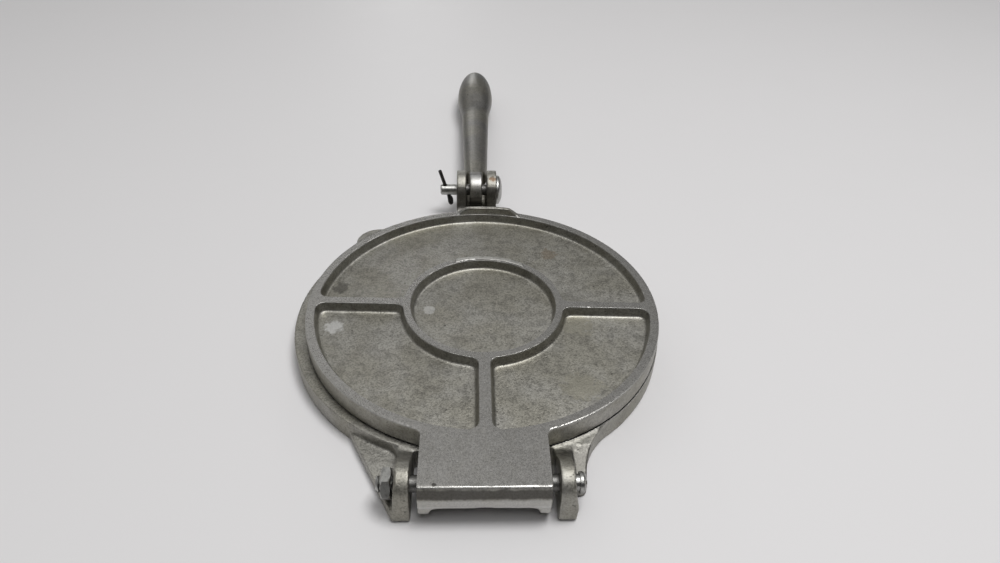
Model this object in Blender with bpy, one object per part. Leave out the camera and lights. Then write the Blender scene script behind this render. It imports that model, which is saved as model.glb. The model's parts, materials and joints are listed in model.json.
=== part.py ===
"""Cast aluminium tortilla press, closed, with its lever laid back on the table.

Two round plates turn on a hinge bolt at the front. At the rear a lever turns on a pin in the
base plate's fork and presses on the raised pad of the lid plate.

Lengths are in metres and angles in degrees, +Z up. The origin is on the table, under the middle
of the whole press. Pieces are first shaped about the plates' common centre, then moved there.
"""

import math

import bmesh
import bpy
from mathutils import Matrix, Vector

# Plates
BASE_RADIUS = 0.0865
BASE_LIP = 0.0039
BASE_OFFSET = -0.0026
BASE_SETBACK = 0.0025
BASE_THICKNESS = 0.0102
LID_THICKNESS = 0.0100
PLATE_GAP = 0.0003
SANDED_EDGE = 0.0007
CAST_EDGE = 0.0012
SANDED_CORNER = 0.0020
CAST_CORNER = 0.0020

# Ribs and pockets, on top of the lid and under the base
RIM_WIDTH = 0.0040
RING_OUTER_RADIUS = 0.0376
RING_WIDTH = 0.0030
SIDE_RIB_WIDTH = 0.0038
FRONT_RIB_WIDTH = 0.0048
POCKET_DEPTH = 0.0052
POCKET_CORNER_RADIUS = 0.0045
POCKET_BROW_RADIUS = 0.0007
POCKET_FLOOR_FILLET = 0.0016
POCKET_DRAFT_ANGLE = 12.0
SIDE_RIB_TURN_ANGLE = -1.5
BASE_RIM_WIDTH = 0.0052
BASE_RIB_WIDTH = 0.0044

# Hinge
HINGE_SETBACK = 0.0110
HINGE_OFFSET = -0.0006
HINGE_HEIGHT = 0.0125
BOLT_DIAMETER = 0.00635
BOLT_CLEARANCE = 0.0003
EAR_RADIUS = 0.0085
EAR_THICKNESS = 0.0061
EAR_DRAFT_ANGLE = 4.0
EAR_SIDE_GAP = 0.0030
EAR_FOOT_LENGTH = 0.0180
HINGE_ROOT_SHARE = 0.866
EAR_RAMP_ANGLE = 40.0
EAR_RAMP_FILLET = 0.0070
ARM_HEIGHT = 0.0100
ARM_LIFT = 0.0010
ARM_FILLET_RADIUS = 0.0090
GUSSET_HEIGHT = 0.0092
GUSSET_LIFT = 0.0014
BLOCK_WIDTH = 0.0495
BLOCK_FRONT = 0.0083
BLOCK_BELLY = 0.0096
BLOCK_BELLY_RADIUS = 0.0120
BLOCK_DROP = 0.0086
BLOCK_LOBE_RADIUS = 0.0044
BLOCK_SKIN = 0.0038
BLOCK_CHEEK = 0.0043
BLOCK_SKIRT_DROP = 0.0032
BLOCK_ARCH_RISE = 0.0007
BLOCK_ARCH_RADIUS = 0.0035
BLOCK_HOLLOW_RADIUS = 0.0020
BLOCK_ROOT_FILLET = 0.0030

# Low webs beside the hinge arms
WEB_HEIGHT = 0.0055
WEB_LIFT = 0.0006
WEB_START_ANGLE = 232.0
WEB_FOOT_WIDTH = 0.0003
WEB_SETBACK = 0.0008
WEB_EDGE = 0.0018
RIGHT_WEB_WIDTH = 0.0062
RIGHT_WEB_SETBACK = 0.0110
RIGHT_WEB_FILLET = 0.0360
RIGHT_WEB_CORNER = 0.0025

# Lid pad that the lever presses on: a raised stretch of the rim
PAD_RISE = 0.0040
PAD_TOP_WIDTH = 0.0240
PAD_FOOT_WIDTH = 0.0335
PAD_TOP_DEPTH = 0.0022
PAD_ROOT = 0.0016
PAD_BACK_STEP = 0.0004
PAD_OFFSET = 0.0033

# Fork for the lever
FORK_SETBACK = 0.0261
FORK_OFFSET = -0.0028
PIN_HEIGHT = 0.0165
FORK_EAR_RADIUS = 0.0115
FORK_EAR_THICKNESS = 0.0056
FORK_SLOT_WIDTH = 0.0121
FORK_NECK_HEIGHT = 0.0096
FORK_NECK_LIFT = 0.0010
FORK_FLOOR_HEIGHT = 0.0046
FORK_FILLET_RADIUS = 0.0040

# Stub of the casting gate on the lid's rim
STUB_ANGLE = 136.0
STUB_PROUD = 0.0052
STUB_RADIUS = 0.0120
STUB_SINK = 0.0012
STUB_THICKNESS = 0.0070

# Lever
LEVER_LENGTH = 0.1880
LEVER_SHIFT = -0.0004
EYE_RADIUS = 0.0105
TONGUE_THICKNESS = 0.0074
TONGUE_HEIGHT = 0.0120
TONGUE_LENGTH = 0.0133
BAR_START_WIDTH = 0.0152
BAR_END_WIDTH = 0.0172
BAR_HEIGHT = 0.0125
BAR_SHOULDER_RADIUS = 0.0030
BULB_DIAMETER = 0.0256
BULB_LENGTH = 0.0790
BULB_WIDEST_SHARE = 0.46
LEVER_TABLE_GAP = 0.0003

# Lever pin and its cotter
PIN_DIAMETER = 0.00635
PIN_CLEARANCE = 0.0003
PIN_HEAD_DIAMETER = 0.0170
PIN_HEAD_THICKNESS = 0.0034
PIN_HEAD_EDGE = 0.0007
PIN_HEAD_GAP = 0.0003
PIN_OVERHANG = 0.0098
PIN_END_CHAMFER = 0.0006
COTTER_DIAMETER = 0.0022
COTTER_END_DISTANCE = 0.0036
COTTER_LEAN_ANGLE = -17.0
COTTER_TURN_ANGLE = 12.0
COTTER_LEG_LENGTH = 0.0132
COTTER_EYE_RADIUS = 0.0020
COTTER_EYE_DROP = 0.0056
COTTER_SPLIT = 0.0003
COTTER_CLEARANCE = 0.0003

# Hinge bolt and nut
BOLT_HEAD_DIAMETER = 0.0082
BOLT_HEAD_THICKNESS = 0.0030
BOLT_HEAD_EDGE = 0.0010
BOLT_HEAD_GAP = 0.0017
BOLT_SLOT_WIDTH = 0.0014
BOLT_SLOT_DEPTH = 0.0015
BOLT_SLOT_ANGLE = 128.0
BOLT_END_LENGTH = 0.0022
BOLT_END_CHAMFER = 0.0007
NUT_FLATS = 0.0111
NUT_THICKNESS = 0.0036
NUT_GAP = 0.0008
NUT_CHAMFER = 0.0006
NUT_CLEARANCE = 0.0003

# Making
OVERRUN = 0.0020
BITE = 0.0002
WORKING_SCALE = 1000
MERGE_DISTANCE = 0.000001
GRID_DECIMALS = 7
SHARP_ANGLE = 32.0
PLATE_STEPS = 96
ROUND_STEPS = 28
CORNER_STEPS = 5
EDGE_STEPS = 2
FILLET_STEPS = 2
LEVER_STEPS = 22
LEVER_SIDES = 20
PAD_STEPS = 8

# Sizes worked out from the ones above
LID_RADIUS = BASE_RADIUS - BASE_LIP
HINGE_REACH = BASE_RADIUS + HINGE_SETBACK
FORK_REACH = BASE_RADIUS + FORK_SETBACK
LID_BOTTOM = BASE_THICKNESS + PLATE_GAP
LID_TOP = LID_BOTTOM + LID_THICKNESS
RIM_INNER_RADIUS = LID_RADIUS - RIM_WIDTH
BASE_INNER_RADIUS = BASE_RADIUS - BASE_RIM_WIDTH
RING_INNER_RADIUS = RING_OUTER_RADIUS - RING_WIDTH
BLOCK_LEFT = HINGE_OFFSET - BLOCK_WIDTH / 2
BLOCK_RIGHT = HINGE_OFFSET + BLOCK_WIDTH / 2
EAR_INNER = BLOCK_WIDTH / 2 + EAR_SIDE_GAP
EAR_OUTER = EAR_INNER + EAR_THICKNESS
EAR_FOOT_OUTER = EAR_OUTER + HINGE_HEIGHT * math.tan(math.radians(EAR_DRAFT_ANGLE))
FORK_EAR_INNER = FORK_SLOT_WIDTH / 2
FORK_EAR_OUTER = FORK_EAR_INNER + FORK_EAR_THICKNESS
LEVER_MIDDLE = FORK_OFFSET + LEVER_SHIFT
BULB_WIDEST = LEVER_LENGTH - BULB_LENGTH * (1 - BULB_WIDEST_SHARE)
LEVER_DROP = PIN_HEIGHT - BULB_DIAMETER / 2 - LEVER_TABLE_GAP
LEVER_REST_ANGLE = math.degrees(math.asin(LEVER_DROP / BULB_WIDEST))
PRESS_FRONT = -HINGE_REACH - max(EAR_RADIUS, BLOCK_BELLY)
PRESS_BACK = FORK_REACH + LEVER_LENGTH * math.cos(math.radians(LEVER_REST_ANGLE))
PLATE_X = -BASE_OFFSET
PLATE_Y = -(PRESS_FRONT + PRESS_BACK) / 2


# Outlines

def sin(angle):
    return math.sin(math.radians(angle))


def cos(angle):
    return math.cos(math.radians(angle))


def arc(centre, radius, start, end, steps):
    """Points on an arc from one angle to another, both ends included."""
    points = []
    for step in range(steps + 1):
        angle = start + (end - start) * step / steps
        points.append(Vector((centre[0] + radius * cos(angle), centre[1] + radius * sin(angle))))
    return points


def circle(radius, steps, centre=(0, 0)):
    return arc(centre, radius, 0, 360, steps)[:-1]


def tidy(points):
    """The same outline without points that fall on their neighbour."""
    kept = []
    for point in points:
        if not kept or (point - kept[-1]).length > MERGE_DISTANCE:
            kept.append(point)
    while (kept[0] - kept[-1]).length <= MERGE_DISTANCE:
        kept.pop()
    return kept


def rounded_polygon(corners):
    """Counter-clockwise outline from (x, y, radius) corners, each turned by a tangent arc."""
    points = []
    for index, (x, y, radius) in enumerate(corners):
        corner = Vector((x, y))
        before = (Vector(corners[index - 1][:2]) - corner).normalized()
        after = (Vector(corners[(index + 1) % len(corners)][:2]) - corner).normalized()
        if radius == 0:
            points.append(corner)
            continue
        half = before.angle(after) / 2
        centre = corner + (before + after).normalized() * radius / math.sin(half)
        start = corner + before * radius / math.tan(half) - centre
        turn = math.degrees(math.pi - 2 * half)
        if before.cross(after) > 0:
            turn = -turn
        first = math.degrees(math.atan2(start.y, start.x))
        points += arc(centre, radius, first, first + turn, CORNER_STEPS)
    return tidy(points)


def inset(points, distance):
    """A counter-clockwise outline moved inwards, every side by the same distance."""
    if distance == 0:
        return points
    moved = []
    for index, point in enumerate(points):
        back = (point - points[index - 1]).normalized()
        ahead = (points[(index + 1) % len(points)] - point).normalized()
        normal = Vector((-back.y - ahead.y, back.x + ahead.x)).normalized()
        moved.append(point + normal * distance / normal.dot(Vector((-back.y, back.x))))
    return moved


# Solids

def loft(name, rings):
    """Closed solid through rings of equally many points, capped at both ends.

    Points are rounded to a fine grid, so that flat faces meant to lie in one plane do.
    """
    shape = bmesh.new()
    loops = []
    for ring in rings:
        loops.append([shape.verts.new([round(c, GRID_DECIMALS) for c in point]) for point in ring])
    count = len(rings[0])
    for near, far in zip(loops, loops[1:]):
        for side in range(count):
            after = (side + 1) % count
            shape.faces.new((near[side], near[after], far[after], far[side]))
    shape.faces.new(loops[0][::-1])
    shape.faces.new(loops[-1])
    bmesh.ops.recalc_face_normals(shape, faces=shape.faces)
    mesh = bpy.data.meshes.new(name)
    shape.to_mesh(mesh)
    shape.free()
    solid = bpy.data.objects.new(name, mesh)
    bpy.context.scene.collection.objects.link(solid)
    return solid


def edge_levels(low, high, low_edge, high_edge):
    """(inset, height) pairs up the side of a slab whose edges are rounded, or sharp at 0."""
    levels = []
    for step in range(EDGE_STEPS if low_edge else 0):
        angle = 90 * step / EDGE_STEPS
        levels.append((low_edge * (1 - sin(angle)), low + low_edge * (1 - cos(angle))))
    levels.append((0, low + low_edge))
    levels.append((0, high - high_edge))
    for step in range(EDGE_STEPS if high_edge else 0):
        angle = 90 * (step + 1) / EDGE_STEPS
        levels.append((high_edge * (1 - cos(angle)), high - high_edge * (1 - sin(angle))))
    return levels


def plan_slab(name, outline, low, high, low_edge=0, high_edge=0):
    """Slab between two heights from an outline seen from above."""
    levels = edge_levels(low, high, low_edge, high_edge)
    return loft(name, [[(p.x, p.y, z) for p in inset(outline, step)] for step, z in levels])


def side_slab(name, outline, left, right, edge=0):
    """Slab between two X places from an outline of (y, z) points seen from the side."""
    levels = edge_levels(left, right, edge, edge)
    return loft(name, [[(x, p.x, p.y) for p in inset(outline, step)] for step, x in levels])


def turned(name, profile, steps, y=0, z=0):
    """Solid of revolution about a line along X, from (x, radius) pairs."""
    rings = [[(x, y + p.x, z + p.y) for p in circle(radius, steps)] for x, radius in profile]
    return loft(name, rings)


def bore(radius, half_length, y=0, z=0):
    """Cutter for a round hole along X."""
    reach = half_length + OVERRUN
    return turned("bore", [(-reach, radius), (reach, radius)], ROUND_STEPS, y, z)


def carve(body, joined=(), cut=(), kept=()):
    """Join solids to a body, take others out of it and keep what lies in the last ones.

    It is worked out in millimetres, because the solver merges points that lie too close in metres.
    """
    operations = [("UNION", tool) for tool in joined]
    operations += [("DIFFERENCE", tool) for tool in cut]
    operations += [("INTERSECT", tool) for tool in kept]
    body.data.transform(Matrix.Scale(WORKING_SCALE, 4))
    for operation, tool in operations:
        tool.data.transform(Matrix.Scale(WORKING_SCALE, 4))
        tool.hide_render = True
        tool.display_type = "WIRE"
        modifier = body.modifiers.new(tool.name, "BOOLEAN")
        modifier.operation = operation
        modifier.solver = "EXACT"
        modifier.object = tool
    evaluated = body.evaluated_get(bpy.context.evaluated_depsgraph_get())
    mesh = bpy.data.meshes.new_from_object(evaluated)
    mesh.transform(Matrix.Scale(1 / WORKING_SCALE, 4))
    body.modifiers.clear()
    body.data = mesh
    for operation, tool in operations:
        bpy.data.objects.remove(tool)
    return body


def finish(solid, material, origin, tilt=0):
    """Give a piece its finish and put its origin, a place about the plates' centre, in the press."""
    shape = bmesh.new()
    shape.from_mesh(solid.data)
    bmesh.ops.remove_doubles(shape, verts=shape.verts, dist=MERGE_DISTANCE)
    bmesh.ops.dissolve_degenerate(shape, edges=shape.edges, dist=MERGE_DISTANCE)
    shape.to_mesh(solid.data)
    shape.free()
    solid.data.transform(Matrix.Translation(-Vector(origin)))
    solid.data.shade_smooth()
    solid.data.set_sharp_from_angle(angle=math.radians(SHARP_ANGLE))
    solid.data.materials.clear()
    solid.data.materials.append(material)
    solid.location = Vector(origin) + Vector((PLATE_X, PLATE_Y, 0))
    solid.rotation_euler.x = math.radians(tilt)
    return solid


def metal(name, colour, roughness, metallic=1.0):
    material = bpy.data.materials.new(name)
    material.use_nodes = True
    shader = material.node_tree.nodes["Principled BSDF"]
    shader.inputs["Base Color"].default_value = (*colour, 1)
    shader.inputs["Roughness"].default_value = roughness
    shader.inputs["Metallic"].default_value = metallic
    material.diffuse_color = (*colour, 1)
    return material


# Pockets

def pocket_levels(face, inward):
    """(inset, height) pairs down a pocket's wall: rounded brow, drafted wall and floor fillet."""
    wall = POCKET_DEPTH - POCKET_BROW_RADIUS - POCKET_FLOOR_FILLET
    foot = wall * math.tan(math.radians(POCKET_DRAFT_ANGLE))
    levels = [(-POCKET_BROW_RADIUS, -OVERRUN)]
    for step in range(EDGE_STEPS + 1):
        angle = 90 * step / EDGE_STEPS
        levels.append((-POCKET_BROW_RADIUS * (1 - sin(angle)), POCKET_BROW_RADIUS * (1 - cos(angle))))
    for step in range(FILLET_STEPS + 1):
        angle = 90 * step / FILLET_STEPS
        depth = POCKET_DEPTH - POCKET_FLOOR_FILLET * (1 - sin(angle))
        levels.append((foot + POCKET_FLOOR_FILLET * (1 - cos(angle)), depth))
    return [(step, face + inward * depth) for step, depth in levels]


def sector_outline(step, start, end, start_half, end_half, rim_radius):
    """Outline of the pocket between two ribs, the ring and the rim, moved inwards by a step."""
    near = RING_OUTER_RADIUS + POCKET_CORNER_RADIUS
    far = rim_radius - POCKET_CORNER_RADIUS
    turns = {}
    for reach, ring in ((near, "near"), (far, "far")):
        lean_start = math.degrees(math.asin((start_half + POCKET_CORNER_RADIUS) / reach))
        lean_end = math.degrees(math.asin((end_half + POCKET_CORNER_RADIUS) / reach))
        turns[ring] = (start + lean_start, end - lean_end)
    radius = POCKET_CORNER_RADIUS - step
    far_start, far_end = turns["far"]
    near_start, near_end = turns["near"]
    arc_share = (end - start) / 360
    points = arc((0, 0), rim_radius - step, far_start, far_end, round(PLATE_STEPS * arc_share))[1:-1]
    for reach, place, first, last in (
        (far, far_end, far_end, end + 90),
        (near, near_end, end + 90, near_end + 180),
    ):
        points += arc((reach * cos(place), reach * sin(place)), radius, first, last, CORNER_STEPS)
    inner_steps = round(PLATE_STEPS * arc_share / 2)
    points += arc((0, 0), RING_OUTER_RADIUS + step, near_end, near_start, inner_steps)[1:-1]
    for reach, place, first, last in (
        (near, near_start, near_start + 180, start + 270),
        (far, far_start, start + 270, far_start + 360),
    ):
        points += arc((reach * cos(place), reach * sin(place)), radius, first, last, CORNER_STEPS)
    return points


def pockets(ribs, rim_radius, face, inward):
    """Cutters for the round middle pocket and for the pockets between ribs of (angle, width)."""
    levels = pocket_levels(face, inward)
    rings = []
    for step, z in levels:
        rings.append([(p.x, p.y, z) for p in circle(RING_INNER_RADIUS - step, PLATE_STEPS // 2)])
    cutters = [loft("middle_pocket", rings)]
    for index, (start, start_width) in enumerate(ribs):
        end, end_width = ribs[(index + 1) % len(ribs)]
        if end <= start:
            end += 360
        rings = []
        for step, z in levels:
            outline = sector_outline(step, start, end, start_width / 2, end_width / 2, rim_radius)
            rings.append([(p.x, p.y, z) for p in outline])
        cutters.append(loft("sector_pocket", rings))
    return cutters


def tabbed_circle(radius, left, right, reach, fillet):
    """Circle with a straight-sided tab towards -Y between two X places, run into it by fillets."""
    near = Vector((right + fillet, -math.sqrt((radius + fillet) ** 2 - (right + fillet) ** 2)))
    far = Vector((left - fillet, -math.sqrt((radius + fillet) ** 2 - (left - fillet) ** 2)))
    start = math.degrees(math.atan2(near.y, near.x))
    end = math.degrees(math.atan2(far.y, far.x))
    points = arc((0, 0), radius, start, end + 360, PLATE_STEPS)
    points += arc(far, fillet, end + 180, 0, CORNER_STEPS)[1:]
    points += [Vector((left, -reach)), Vector((right, -reach))]
    points += arc(near, fillet, 180, 180 + start, CORNER_STEPS)[:-1]
    return tidy(points)


# Pieces

def wall_to_disc(side, wall, radius):
    """A concave fillet from a wall square to +X, on one side of the hinge, to the base's disc.

    It is given as on the +X side: the wall's end, the arc, and a point inside the disc's rim.
    """
    disc = Vector((side * BASE_OFFSET, BASE_SETBACK))
    reach = BASE_RADIUS - BITE + radius
    centre_x = wall + radius
    centre = Vector((centre_x, disc.y - math.sqrt(reach ** 2 - (centre_x - disc.x) ** 2)))
    ray = centre - disc
    tangent = math.degrees(math.atan2(-ray.y, -ray.x))
    points = arc(centre, radius, 180, tangent, CORNER_STEPS)
    points.append(disc + ray * BASE_INNER_RADIUS / ray.length)
    return points


def mirrored(outline):
    return [Vector((-p.x, p.y)) for p in reversed(outline)]


def hinge_arm(side):
    """One hinge ear, ramped down into the arm that carries it, on the side of +X or -X."""
    inner = EAR_INNER + side * HINGE_OFFSET
    outer = EAR_OUTER + side * HINGE_OFFSET
    front = -HINGE_REACH - EAR_RADIUS
    root = -BASE_RADIUS * HINGE_ROOT_SHARE
    top = HINGE_HEIGHT + EAR_RADIUS
    heel = front + EAR_FOOT_LENGTH
    ramp_top = -HINGE_REACH + EAR_RADIUS * math.tan(math.radians(EAR_RAMP_ANGLE / 2))
    ramp_foot = ramp_top + (top - ARM_HEIGHT) / math.tan(math.radians(EAR_RAMP_ANGLE))
    outline = rounded_polygon([
        (front, 0, CAST_CORNER),
        (heel, 0, 0),
        (heel + ARM_LIFT, ARM_LIFT, 0),
        (root, ARM_LIFT, 0),
        (root, ARM_HEIGHT, 0),
        (ramp_foot, ARM_HEIGHT, EAR_RAMP_FILLET),
        (ramp_top, top, EAR_RADIUS),
        (front, top, EAR_RADIUS),
    ])
    left, right = sorted((side * inner, side * outer))
    ear = side_slab("ear", outline, left, right, CAST_EDGE)
    for vertex in ear.data.vertices:
        depth_share = (side * vertex.co.x - inner) / EAR_THICKNESS
        spread = (HINGE_HEIGHT - vertex.co.z) * math.tan(math.radians(EAR_DRAFT_ANGLE))
        vertex.co.x += side * spread * depth_share

    inside = inner + EAR_THICKNESS / 2
    fillet = wall_to_disc(side, outer - BITE, ARM_FILLET_RADIUS)
    outline = [Vector((inside, root)), Vector((inside, fillet[0].y))] + fillet
    gusset = plan_slab("gusset", outline if side > 0 else mirrored(outline), GUSSET_LIFT, GUSSET_HEIGHT)
    return [ear, gusset]


def left_web():
    """The straight low web outside the left arm, from the disc's rim to beside the ear's foot."""
    wall = HINGE_OFFSET - EAR_FOOT_OUTER
    foot = Vector((wall - WEB_FOOT_WIDTH, -HINGE_REACH - EAR_RADIUS + WEB_SETBACK))
    inside = wall + EAR_THICKNESS * 2 / 3
    edge = Vector((BASE_OFFSET, BASE_SETBACK))
    edge += BASE_RADIUS * Vector((cos(WEB_START_ANGLE), sin(WEB_START_ANGLE)))
    edge += (edge - foot).normalized() * BASE_RIM_WIDTH
    outline = rounded_polygon([
        (edge.x, edge.y, 0),
        (foot.x, foot.y, 0),
        (inside, foot.y, 0),
        (inside, -BASE_RADIUS * HINGE_ROOT_SHARE, 0),
    ])
    return plan_slab("left_web", outline, WEB_LIFT, WEB_HEIGHT, 0, WEB_EDGE)


def right_web():
    """The shorter web outside the right arm, swept into the disc and sloped down from its top."""
    ear_wall = HINGE_OFFSET + EAR_OUTER
    wall = ear_wall + RIGHT_WEB_WIDTH
    inside = ear_wall - EAR_THICKNESS / 3
    end = -HINGE_REACH - EAR_RADIUS + RIGHT_WEB_SETBACK
    fillet = wall_to_disc(1, wall, RIGHT_WEB_FILLET)
    corner = rounded_polygon([
        (inside, end, 0),
        (wall, end, RIGHT_WEB_CORNER),
        (wall, fillet[0].y, 0),
    ])
    outline = corner[:-1] + fillet
    outline.append(Vector((inside, -BASE_RADIUS * HINGE_ROOT_SHARE)))
    web = plan_slab("right_web", outline, WEB_LIFT, BASE_THICKNESS - BITE, 0, CAST_EDGE)
    shore = BASE_SETBACK - math.sqrt(BASE_RADIUS ** 2 - (ear_wall - BASE_OFFSET) ** 2)
    slope = side_slab("slope", [
        Vector((end - OVERRUN, WEB_HEIGHT)),
        Vector((end, WEB_HEIGHT)),
        Vector((shore, BASE_THICKNESS)),
        Vector((shore, BASE_THICKNESS + OVERRUN)),
        Vector((end - OVERRUN, BASE_THICKNESS + OVERRUN)),
    ], inside - OVERRUN, BASE_RADIUS)
    return carve(web, cut=[slope])


def fork():
    """The rear block with its slot, cut to two round-topped ears about the lever pin."""
    front = FORK_REACH - FORK_EAR_RADIUS
    back = FORK_REACH + FORK_EAR_RADIUS
    outline = rounded_polygon([
        (RIM_INNER_RADIUS, FORK_NECK_LIFT, 0),
        (front - FORK_NECK_LIFT, FORK_NECK_LIFT, 0),
        (front, 0, 0),
        (back, 0, CAST_CORNER),
        (back, PIN_HEIGHT + FORK_EAR_RADIUS, FORK_EAR_RADIUS),
        (front, PIN_HEIGHT + FORK_EAR_RADIUS, FORK_EAR_RADIUS),
        (front, FORK_NECK_HEIGHT, FORK_FILLET_RADIUS),
        (RIM_INNER_RADIUS, FORK_NECK_HEIGHT, 0),
    ])
    left = FORK_OFFSET - FORK_EAR_OUTER
    right = FORK_OFFSET + FORK_EAR_OUTER
    body = side_slab("fork", outline, left, right, CAST_EDGE)
    ahead = front - OVERRUN
    slot = side_slab("slot", rounded_polygon([
        (ahead, FORK_FLOOR_HEIGHT, FORK_FILLET_RADIUS),
        (back + OVERRUN, FORK_FLOOR_HEIGHT, 0),
        (back + OVERRUN, PIN_HEIGHT + FORK_EAR_RADIUS + OVERRUN, 0),
        (ahead, PIN_HEIGHT + FORK_EAR_RADIUS + OVERRUN, 0),
    ]), FORK_OFFSET - FORK_EAR_INNER, FORK_OFFSET + FORK_EAR_INNER)
    return body, slot


def base_plate(material):
    disc = circle(BASE_RADIUS, PLATE_STEPS, (BASE_OFFSET, BASE_SETBACK))
    plate = plan_slab("base_plate", disc, 0, BASE_THICKNESS, SANDED_EDGE, CAST_EDGE)
    fork_body, fork_slot = fork()
    ribs = [(angle, BASE_RIB_WIDTH) for angle in (0, 90, 180, 270)]
    cutters = pockets(ribs, BASE_INNER_RADIUS, 0, 1)
    for cutter in cutters:
        cutter.data.transform(Matrix.Translation((BASE_OFFSET, BASE_SETBACK, 0)))
    bores = [
        bore(BOLT_DIAMETER / 2 + BOLT_CLEARANCE, EAR_FOOT_OUTER, -HINGE_REACH, HINGE_HEIGHT),
        bore(PIN_DIAMETER / 2 + PIN_CLEARANCE, FORK_EAR_OUTER + abs(FORK_OFFSET), FORK_REACH, PIN_HEIGHT),
    ]
    joined = [fork_body, left_web(), right_web()] + hinge_arm(1) + hinge_arm(-1)
    carve(plate, joined, [fork_slot] + cutters + bores)
    return finish(plate, material, (0, 0, 0))


def hinge_block():
    """The lid's hinge block and what hollows it: an arch through the skirt and a hollow under the skin."""
    axis_y = -HINGE_REACH
    axis_z = HINGE_HEIGHT
    rear = -RIM_INNER_RADIUS * HINGE_ROOT_SHARE
    outline = rounded_polygon([
        (axis_y - BLOCK_FRONT, LID_TOP, SANDED_CORNER),
        (axis_y - BLOCK_BELLY, axis_z, BLOCK_BELLY_RADIUS),
        (axis_y - BLOCK_FRONT, axis_z - BLOCK_DROP, BLOCK_LOBE_RADIUS),
        (axis_y + BLOCK_FRONT, axis_z - BLOCK_DROP, BLOCK_LOBE_RADIUS),
        (axis_y + BLOCK_FRONT, LID_BOTTOM, CAST_EDGE),
        (rear, LID_BOTTOM, 0),
        (rear, LID_TOP, 0),
    ])
    body = side_slab("hinge_block", outline, BLOCK_LEFT, BLOCK_RIGHT, SANDED_EDGE)
    left = BLOCK_LEFT + BLOCK_CHEEK
    right = BLOCK_RIGHT - BLOCK_CHEEK
    skirt = axis_z - BLOCK_SKIRT_DROP
    low = axis_z - BLOCK_DROP - OVERRUN
    ahead = axis_y - BLOCK_BELLY - OVERRUN
    behind = axis_y + BLOCK_FRONT + OVERRUN
    arch_outline = rounded_polygon([
        (left, low, 0),
        (right, low, 0),
        (right, skirt, BLOCK_ARCH_RADIUS),
        (HINGE_OFFSET, skirt + BLOCK_ARCH_RISE, 0),
        (left, skirt, BLOCK_ARCH_RADIUS),
    ])
    arch = loft("arch", [[(p.x, y, p.y) for p in arch_outline] for y in (ahead, axis_y)])
    hollow = side_slab("hollow", rounded_polygon([
        (axis_y - BLOCK_FRONT + BLOCK_SKIN, low, 0),
        (behind, low, 0),
        (behind, LID_BOTTOM, 0),
        (axis_y + BLOCK_FRONT, LID_TOP - BLOCK_SKIN, BLOCK_HOLLOW_RADIUS),
        (axis_y - BLOCK_FRONT + BLOCK_SKIN, LID_TOP - BLOCK_SKIN, BLOCK_HOLLOW_RADIUS),
    ]), left, right)
    return body, [arch, hollow]


def press_pad():
    """The raised stretch of the lid's rim, with sloped ends and back."""
    middle = (LID_RADIUS + RIM_INNER_RADIUS) / 2
    centre = 90 - math.degrees(math.asin(PAD_OFFSET / middle))
    half_foot = math.degrees(math.asin(PAD_FOOT_WIDTH / 2 / middle))
    half_top = math.degrees(math.asin(PAD_TOP_WIDTH / 2 / middle))
    places = [(-half_foot, -PAD_BACK_STEP)]
    for step in range(PAD_STEPS + 1):
        places.append((-half_top + 2 * half_top * step / PAD_STEPS, PAD_RISE))
    places.append((half_foot, -PAD_BACK_STEP))
    rings = []
    for angle, rise in places:
        top = LID_TOP + rise
        edge = SANDED_EDGE if rise > 0 else BITE
        section = [
            (RIM_INNER_RADIUS, LID_TOP - PAD_ROOT),
            (LID_RADIUS - PAD_BACK_STEP, LID_TOP - PAD_ROOT),
            (LID_RADIUS - PAD_BACK_STEP, LID_TOP - PAD_BACK_STEP - BITE),
            (RIM_INNER_RADIUS + PAD_TOP_DEPTH + edge, top - edge / 2),
            (RIM_INNER_RADIUS + PAD_TOP_DEPTH, top),
            (RIM_INNER_RADIUS + edge, top),
            (RIM_INNER_RADIUS + edge / 3, top - edge / 3),
            (RIM_INNER_RADIUS, top - edge),
        ]
        place = centre - angle
        rings.append([(reach * cos(place), reach * sin(place), z) for reach, z in section])
    return loft("press_pad", rings)


def gate_stub():
    """The stub that the casting gate left on the lid's rim."""
    place = LID_RADIUS + STUB_PROUD - STUB_RADIUS
    centre = (place * cos(STUB_ANGLE), place * sin(STUB_ANGLE))
    top = LID_TOP - STUB_SINK
    outline = circle(STUB_RADIUS, ROUND_STEPS, centre)
    return plan_slab("gate_stub", outline, top - STUB_THICKNESS, top, SANDED_EDGE, SANDED_EDGE)


def lid_plate(material):
    outline = tabbed_circle(LID_RADIUS, BLOCK_LEFT, BLOCK_RIGHT, HINGE_REACH, BLOCK_ROOT_FILLET)
    plate = plan_slab("lid_plate", outline, LID_BOTTOM, LID_TOP, SANDED_EDGE, SANDED_EDGE)
    block, hollows = hinge_block()
    turn = SIDE_RIB_TURN_ANGLE
    ribs = [(turn, SIDE_RIB_WIDTH), (180 + turn, SIDE_RIB_WIDTH), (270, FRONT_RIB_WIDTH)]
    cutters = pockets(ribs, RIM_INNER_RADIUS, LID_TOP, -1)
    bolt_bore = bore(BOLT_DIAMETER / 2 + BOLT_CLEARANCE, BLOCK_WIDTH / 2, -HINGE_REACH, HINGE_HEIGHT)
    carve(plate, [block, gate_stub()], hollows + cutters + [bolt_bore])
    carve(plate, [press_pad()])
    return finish(plate, material, (0, -HINGE_REACH, HINGE_HEIGHT))


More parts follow.
